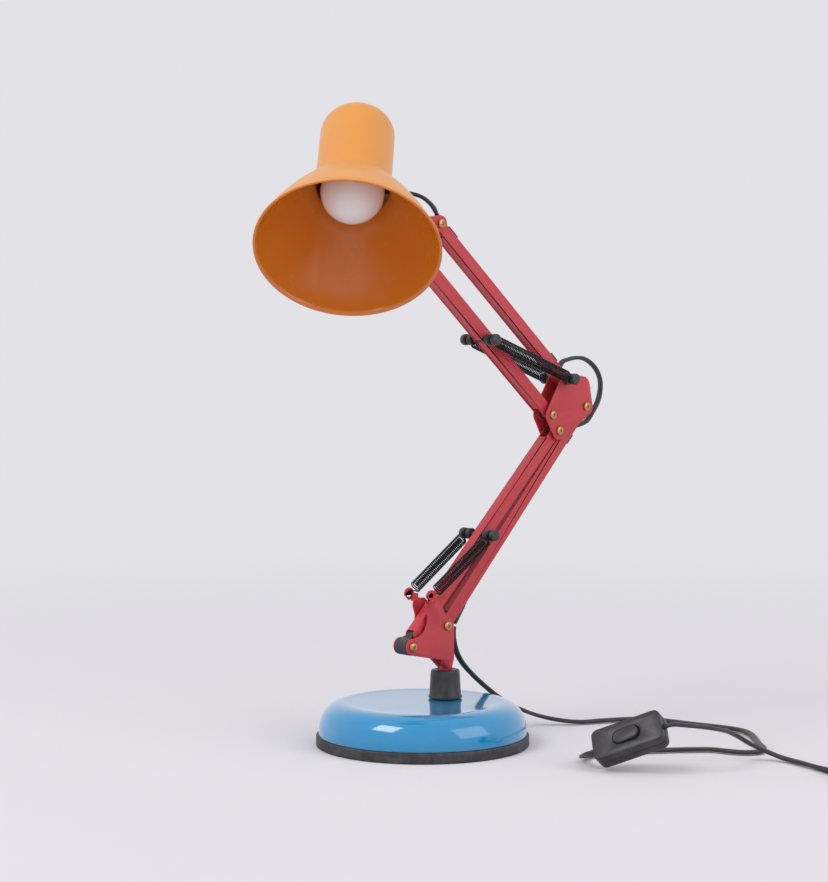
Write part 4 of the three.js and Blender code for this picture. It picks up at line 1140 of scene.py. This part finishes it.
@dataclass
class PivotScrews:
    """The seven pan-head screws that the arms turn on."""

    groups: tuple = (
        ("foot", ("foot_screw_main", "foot_screw_guide"), (FOOT_MAIN, FOOT_GUIDE)),
        ("elbow", ("elbow_screw_main", "elbow_screw_upper", "elbow_screw_lower"), (ELBOW_MAIN, ELBOW_UPPER, ELBOW_LOWER)),
        ("head", ("head_screw_main", "head_screw_guide"), (HEAD_MAIN, HEAD_GUIDE)),
    )

    def build(self) -> None:
        """Sets the screws of each body as one piece."""
        screw = screw_mesh()
        tree = screw_tree(screw)
        for body, nodes, places in self.groups:
            mesh = bpy.data.meshes.new(f"{body}_pivot_screws")
            mesh.from_pydata([tuple(p) for p in places], [], [])
            piece = bpy.data.objects.new(f"{body}_pivot_screws", mesh)
            bpy.context.scene.collection.objects.link(piece)
            nodes_modifier = piece.modifiers.new("screws", "NODES")
            nodes_modifier.node_group = tree
            set_inputs(nodes_modifier, {"Screw": screw, "Size": 1.0, "Most Turn": math.pi / 2})
            bake_modifiers(piece, 30)
            settle(piece, body, nodes)
        bpy.data.objects.remove(screw)


# ---------------------------------------------------------------- springs
def spring_tree() -> bpy.types.NodeTree:
    """Builds the node tree for a spring: an even helix joined to its two wire ends.

    Returns:
        The tree, with inputs for the ends, the coil's radius, turns and length, and the wire.
    """
    tree = bpy.data.node_groups.new("close_wound_spring", "GeometryNodeTree")
    tree.interface.new_socket("Wire Ends", in_out="INPUT", socket_type="NodeSocketGeometry")
    for name in ("Coil Radius", "Turns", "Body Length", "Body Start", "Wire Radius"):
        tree.interface.new_socket(name, in_out="INPUT", socket_type="NodeSocketFloat")
    tree.interface.new_socket("Spring", in_out="OUTPUT", socket_type="NodeSocketGeometry")
    given = add_node(tree, "NodeGroupInput")
    helix = add_node(
        tree, "GeometryNodeCurveSpiral", {"Resolution": 18},
        {
            "Rotations": given.outputs["Turns"], "Start Radius": given.outputs["Coil Radius"],
            "End Radius": given.outputs["Coil Radius"], "Height": given.outputs["Body Length"],
        },
    )
    lift = add_node(tree, "ShaderNodeCombineXYZ", links={"Z": given.outputs["Body Start"]})
    lifted = add_node(
        tree, "GeometryNodeTransform", links={"Geometry": helix.outputs[0], "Translation": lift.outputs[0]}
    )
    ends = add_node(tree, "GeometryNodeMeshToCurve", links={"Mesh": given.outputs["Wire Ends"]})
    both = add_node(tree, "GeometryNodeJoinGeometry")
    tree.links.new(lifted.outputs[0], both.inputs[0])
    tree.links.new(ends.outputs[0], both.inputs[0])
    section = add_node(
        tree, "GeometryNodeCurvePrimitiveCircle", {"Resolution": 8}, {"Radius": given.outputs["Wire Radius"]}
    )
    wire = add_node(
        tree, "GeometryNodeCurveToMesh", {"Fill Caps": True},
        {"Curve": both.outputs[0], "Profile Curve": section.outputs[0]},
    )
    real = add_node(tree, "GeometryNodeRealizeInstances", links={"Geometry": wire.outputs[0]})
    dressed = add_node(
        tree, "GeometryNodeSetMaterial", {"Material": material_of(SPRING_STEEL)},
        {"Geometry": real.outputs[0]},
    )
    add_node(tree, "NodeGroupOutput", links={"Spring": dressed.outputs[0]})
    return tree


@dataclass
class Spring:
    """One tension spring with a wire loop at each end.

    Attributes:
        name: The piece's name.
        node: The CAD node that it stands for.
        start: Middle of the first loop.
        end: Middle of the second loop.
        bodies: The two bodies that it runs between; not used.
        start_clear: Distance from the first loop's middle to the coils.
        end_clear: The same at the second loop.
        start_loop: Radius of the first loop.
        end_loop: Radius of the second loop.
    """

    name: str
    node: str
    start: Vector
    end: Vector
    bodies: tuple[str, str]
    start_clear: float
    end_clear: float
    start_loop: float = 3.9 * MM
    end_loop: float = 3.9 * MM
    wire: float = 0.5 * MM
    coil: float = 4.4 * MM
    pitch: float = 1.75 * MM

    def place(self) -> Matrix:
        """Gives the spring's frame: z along it, x across the lamp's side."""
        way = (self.end - self.start).normalized()
        across = Vector((0, 1, 0))
        x = (across.cross(way)).normalized()
        y = way.cross(x)
        return Matrix.Translation(self.start) @ Matrix((x, y, way)).transposed().to_4x4()

    def wire_end(self, middle: float, radius: float, body: float, way: float, turned: float) -> list[Vector]:
        """Draws one wire end: a loop round the fitting, then a bend onto the coils.

        Args:
            middle: Height of the loop's middle.
            radius: The loop's radius.
            body: Height where the coils begin.
            way: 1 if the coils lie above the loop, -1 if below.
            turned: Angle of the coils' first point.

        Returns:
            Points of the wire in the spring's frame.
        """
        loop = []
        for k in range(23):
            a = math.pi / 2 + math.radians(20) + math.radians(320) * k / 22
            loop.append(Vector((radius * math.cos(a), 0, middle + way * radius * math.sin(a))))
        last = loop[-1]
        first = Vector((self.coil * math.cos(turned), self.coil * math.sin(turned), body))
        loop.append(Vector((last.x * 0.3, first.y * 0.25, middle + way * (radius + 0.7 * MM))))
        loop.append(Vector((first.x * 0.6, first.y * 0.65, body - way * 0.9 * MM)))
        loop.append(first)
        return loop

    def build(self, tree: bpy.types.NodeTree) -> bpy.types.Object:
        """Builds the spring.

        Args:
            tree: The spring's node tree.

        Returns:
            The finished piece.
        """
        whole = (self.end - self.start).length
        body = whole - self.start_clear - self.end_clear
        turns = round(body / self.pitch)
        low = self.wire_end(0, self.start_loop, self.start_clear, 1, 0.0)
        high = self.wire_end(whole, self.end_loop, whole - self.end_clear, -1, 0.0)
        points = [*low, *high]
        edges = [(k, k + 1) for k in range(len(low) - 1)]
        edges += [(len(low) + k, len(low) + k + 1) for k in range(len(high) - 1)]
        mesh = bpy.data.meshes.new(self.name)
        mesh.from_pydata([tuple(p) for p in points], edges, [])
        piece = bpy.data.objects.new(self.name, mesh)
        bpy.context.scene.collection.objects.link(piece)
        modifier = piece.modifiers.new("spring", "NODES")
        modifier.node_group = tree
        set_inputs(modifier, {
            "Coil Radius": self.coil, "Turns": float(turns), "Body Length": body,
            "Body Start": self.start_clear, "Wire Radius": self.wire,
        })
        bake_modifiers(piece, 60)
        piece.data.transform(self.place())
        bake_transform(piece)
        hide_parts(self.node)
        LOG.info("made %s with %d turns", self.name, turns)
        return piece


@dataclass
class SpringSet:
    """Both pairs of springs, with the grooved caps that hold their loops."""

    def grooved_cap(self, place: Matrix, shape: bmesh.types.BMesh, foot_mm: float, sides: int = 40) -> None:
        """Adds one grooved cap that points along a place's +Z.

        Args:
            place: The cap's frame, its origin in the arm's middle plane.
            shape: The mesh that gets it.
            foot_mm: Where the cap begins.
            sides: Number of sides.
        """
        groove0, groove1, tip, r, deep = 12.4, 15.6, 20.0, 4.6, 3.2
        profile_mm = [
            (0, foot_mm), (r - 0.4, foot_mm), (r, foot_mm + 0.4), (r, groove0 - 0.4), (r - 0.4, groove0),
            (deep, groove0 + 0.5), (deep, groove1 - 0.5), (r - 0.4, groove1), (r, groove1 + 0.4),
            (r, tip - 1.2), (r - 0.35, tip - 0.35), (r - 1.2, tip), (0, tip),
        ]
        lathe(shape, [(a * MM, b * MM) for a, b in profile_mm], place, sides)

    def caps(self) -> None:
        """Builds the caps of both pins and the two elbow studs."""
        back = Matrix.Rotation(-math.pi / 2, 4, "X")
        front = Matrix.Rotation(math.pi / 2, 4, "X")
        for name, node, at, body in (
            ("lower_pin_caps", "lower_spring_pin", LOWER_PIN, "lower_guide"),
            ("upper_pin_caps", "upper_spring_pin", UPPER_PIN, "upper_guide"),
        ):
            shape = bmesh.new()
            move = Matrix.Translation(at)
            for turn in (front, back):
                self.grooved_cap(move @ turn, shape, 8.0)
            rod = [(0, -8 * MM), (2 * MM, -8 * MM), (2 * MM, 8 * MM), (0, 8 * MM)]
            lathe(shape, rod, move @ back, 20)
            settle(add_object(name, shape, [BLACK_ABS], 40), body, [node])
        for name, node, turn in (
            ("elbow_stud_cap_front", "elbow_stud_front", front), ("elbow_stud_cap_back", "elbow_stud_back", back),
        ):
            shape = bmesh.new()
            self.grooved_cap(Matrix.Translation(ELBOW_STUD) @ turn, shape, 8.2)
            settle(add_object(name, shape, [BLACK_ABS], 40), "elbow", [node])

    def build(self) -> None:
        """Builds the caps and the four springs."""
        self.caps()
        tree = spring_tree()
        for side, name in ((-1, "front"), (1, "back")):
            hook = HOOK + Vector((0, side * HOOK_Y_MM * MM, 0))
            y = Vector((0, side * SPRING_Y_MM * MM, 0))
            Spring(
                f"lower_spring_wire_{name}", f"lower_spring_{name}", hook, LOWER_PIN + y,
                ("foot", "lower_guide"), 8 * MM, 6.6 * MM, start_loop=3.6 * MM,
            ).build(tree)
            Spring(
                f"upper_spring_wire_{name}", f"upper_spring_{name}", UPPER_PIN + y, ELBOW_STUD + y,
                ("upper_guide", "elbow"), 6.6 * MM, 6.6 * MM,
            ).build(tree)


# ---------------------------------------------------------------- sheet metal
@dataclass
class Bar:
    """One folded channel bar.

    Attributes:
        node: The CAD node whose shape it keeps.
        body: The body it rides on.
        start: First pivot.
        end: Second pivot.
    """

    node: str
    body: str
    start: Vector
    end: Vector
    half_depth: float = 4.8 * MM

    def build(self) -> None:
        """Builds the bar with rolled folds along its closed side and eased cut edges."""
        way = (self.end - self.start).normalized()
        across = Vector((-way.z, 0, way.x))

        def offset(edge: bmesh.types.BMEdge) -> float:
            """Gives an edge's offset toward the closed side."""
            middle = (edge.verts[0].co + edge.verts[1].co) / 2
            return (middle - self.start).dot(across)

        def is_fold(edge: bmesh.types.BMEdge) -> bool:
            """Says whether an edge is one of the two long outer folds."""
            run = edge.verts[1].co - edge.verts[0].co
            depth = abs((edge.verts[0].co.y + edge.verts[1].co.y) / 2)
            return run.length > 30 * MM and depth > self.half_depth - 0.1 * MM and offset(edge) > 1 * MM

        piece = softened(self.node, f"{self.node}_folded", RED_POWDER, 0.2, 1.0, is_fold)
        settle(piece, self.body, [self.node])


@dataclass
class SheetMetal:
    """The four bars, the foot and head brackets and the two elbow plates."""

    bars: tuple = (
        Bar("lower_bar_main", "lower_main", FOOT_MAIN, ELBOW_MAIN),
        Bar("lower_bar_guide", "lower_guide", FOOT_GUIDE, ELBOW_LOWER),
        Bar("upper_bar_main", "upper_main", ELBOW_MAIN, HEAD_MAIN),
        Bar("upper_bar_guide", "upper_guide", ELBOW_UPPER, HEAD_GUIDE),
    )
    plates: tuple = (
        ("foot_bracket", "foot"), ("head_bracket", "head"), ("elbow_plate_front", "elbow"),
        ("elbow_plate_back", "elbow"),
    )

    def build(self) -> None:
        """Builds every sheet-metal piece."""
        for bar in self.bars:
            bar.build()
        for node, body in self.plates:
            piece = softened(node, f"{node}_pressed", RED_POWDER, 0.3)
            settle(piece, body, [node])


# ---------------------------------------------------------------- head
@dataclass
class Head:
    """Bell shade with its cord gland, lampholder and opal bulb."""

    rim_r: float = 69 * MM
    cap_r: float = 29 * MM
    crease: float = 66 * MM
    cap_end: float = 125 * MM
    dome: float = 22.5 * MM
    wall: float = 1.0 * MM
    bead: float = 1.1 * MM

    def radius_at(self, s: float) -> float:
        """Gives the outside radius at a distance from the rim."""
        if s >= self.crease:
            return self.cap_r
        t = s / self.crease
        return self.cap_r + (self.rim_r - self.cap_r) * (1 - t ** 1.25) ** 0.93

    def shade(self) -> bpy.types.Object:
        """Builds the spun shade: bell, creased neck, straight cap and dome, with a rolled rim."""
        outer = [(self.radius_at(self.crease * k / 36), self.crease * k / 36) for k in range(1, 36)]
        # The crease where the bell meets the cap is a small soft step.
        outer += [
            (self.cap_r + 0.15 * MM, self.crease - 0.5 * MM), (self.cap_r, self.crease + 0.4 * MM),
            (self.cap_r, self.crease + 12 * MM), (self.cap_r, self.cap_end - 8 * MM),
        ]
        for k in range(15):
            a = math.pi / 2 * k / 14
            radius = 0.0 if k == 14 else self.cap_r * math.cos(a) ** 0.92
            outer.append((radius, self.cap_end + self.dome * math.sin(a)))
        inner = []
        for r, s in outer:
            if r == 0:
                inner.append((0.0, s - self.wall))
            elif s > self.cap_end:
                inner.append((r * (1 - self.wall / self.cap_r), self.cap_end + (s - self.cap_end) * (1 - self.wall / self.dome)))
            else:
                inner.append((r - self.wall * (1.25 if s < self.crease else 1), s))
        bead = []
        for k in range(9):
            a = -math.pi * 0.75 + math.pi * 1.5 * k / 8
            bead.append((self.rim_r + self.bead * 0.3 + self.bead * math.cos(a), -0.1 * MM + self.bead * math.sin(a)))
        profile = [*reversed(inner), *bead, *outer]
        first_outer = len(inner) + 3
        shape = bmesh.new()
        # Inside faces take material 1, the darker painted-shade copy of the orange enamel.
        lathe(shape, profile, SHADE, 144, lambda i: 0 if i >= first_outer else 1)
        piece = add_object("shade_spun", shape, [ORANGE_ENAMEL, ORANGE_INSIDE_PAINTED_SHADE], 60)
        return settle(piece, "shade", ["shade"])

    def bulb(self) -> bpy.types.Object:
        """Builds the bulb's glass: a round globe that runs smoothly into its neck."""
        globe, at, neck = 24.5 * MM, 62 * MM, 13.8 * MM
        profile = []
        for k in range(33):
            a = math.pi * 0.74 * k / 32
            profile.append((globe * math.sin(a), at - globe * math.cos(a)))
        last_r, last_s = profile[-1]
        for k in range(1, 9):
            t = k / 8
            across = last_r + (neck - last_r) * math.sin(t * math.pi / 2)
            profile.append((across, last_s + (89 * MM - last_s) * t))
        profile += [(neck, 91 * MM), (0, 91 * MM)]
        shape = bmesh.new()
        lathe(shape, profile, SHADE, 72)
        return settle(add_object("bulb_globe", shape, [OPAL_GLASS], 50), "shade", ["bulb_glass"])

    def gland(self) -> bpy.types.Object:
        """Builds the moulded gland that guards the cord where it enters the cap."""
        angle = math.radians(38)
        out = Matrix.Rotation(angle, 4, "Z") @ Matrix.Translation((0, 0, 118 * MM)) @ Matrix.Rotation(math.pi / 2, 4, "Y")
        profile_mm = [
            (0, 25.5), (3.2, 25.5), (3.2, 29.7), (4.5, 29.7), (4.9, 30.2), (4.9, 31.6), (4.5, 32.0),
            (4.2, 33.4), (4.2, 36.6), (3.8, 37.4), (3.2, 37.7), (0, 37.7),
        ]
        shape = bmesh.new()
        lathe(shape, [(a * MM, b * MM) for a, b in profile_mm], SHADE @ out, 32)
        return settle(add_object("cord_gland_moulded", shape, [BLACK_ABS], 35), "shade", ["cord_gland"])

    def holder(self) -> bpy.types.Object:
        """Builds the moulded lampholder round the bulb's cap."""
        profile_mm = [
            (14.6, 92), (17.4, 92), (18, 92.6), (18, 103.4), (17.4, 104), (16.8, 105), (16.8, 121.2),
            (16, 122), (0, 122), (0, 118), (14.6, 118),
        ]
        shape = bmesh.new()
        outer = [(a * MM, b * MM) for a, b in profile_mm]
        lathe(shape, [outer[9], *outer[10:], *outer[:9]], SHADE, 64)
        return settle(add_object("lampholder_moulded", shape, [BLACK_ABS], 35), "shade", ["lampholder"])

    def build(self) -> None:
        """Builds the head's pieces."""
        self.shade()
        self.bulb()
        self.gland()
        self.holder()
        knuckle = softened("tilt_knuckle", "tilt_knuckle_moulded", BLACK_ABS, 0.5)
        settle(knuckle, "knuckle", ["tilt_knuckle"])
        knob = softened("tilt_knob", "tilt_knob_moulded", BLACK_ABS, 0.5)
        settle(knob, "head", ["tilt_knob"])


# ---------------------------------------------------------------- switch and plug
@dataclass
class SwitchAndPlug:
    """The in-line rocker switch and the flat two-pin plug."""

    def build(self) -> list[bpy.types.Object]:
        """Builds the switch and the plug.

        Returns:
            The switch's three pieces and then the plug.
        """
        pieces = []
        for node, body, edge_mm in (
            ("switch_base", "base", 0.9), ("switch_cover", "base", 0.9), ("switch_rocker", "rocker", 0.7),
            ("plug", "base", 0.8),
        ):
            piece = softened(node, f"{node}_moulded", BLACK_ABS, edge_mm)
            pieces.append(settle(piece, body, [node]))
        return pieces


# The CAD nodes that keep their own shape, with the finish each one takes.
KEPT_NODES = {
    "base_pad": BLACK_RUBBER, "base_weight": CAST_IRON, "socket_nut": BRIGHT_ZINC,
    "foot_sleeve_main": BLACK_ABS, "lower_bar_bush": BLACK_ABS,
    "elbow_sleeve_main": BLACK_ABS, "elbow_sleeve_upper": BLACK_ABS, "elbow_sleeve_lower": BLACK_ABS,
    "head_sleeve_main": BLACK_ABS, "head_sleeve_guide": BLACK_ABS, "knuckle_nut": BRIGHT_ZINC,
    "holder_strap": BRIGHT_ZINC, "bulb_cap": BRIGHT_ZINC,
    "cord_clip_head": BLACK_ABS, "cord_clip_upper": BLACK_ABS, "cord_clip_lower": BLACK_ABS,
}


def dress_kept_nodes() -> None:
    """Gives each CAD node that stays its procedural material."""
    for name, finish in KEPT_NODES.items():
        for material_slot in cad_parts[name].material_slots:
            material_slot.material = material_of(finish)
        LOG.info("dressed %s", name)


def main() -> None:
    """Builds the whole lamp, the cords first."""
    logging.basicConfig(level=logging.INFO, format="%(message)s")
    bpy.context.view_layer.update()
    add_camera()
    cords = CordSet()
    parts = cords.build()
    switch = SwitchAndPlug().build()
    cords.lead.declare(parts["lead"], "fitting", "loose", switch[:3])
    cords.tail.declare(parts["tail"], "plug", "coiled", [switch[3], parts["tie"]])
    Base().build()
    SheetMetal().build()
    PivotScrews().build()
    SpringSet().build()
    Head().build()
    dress_kept_nodes()
    Studio().build()


if __name__ == "__main__":
    main()
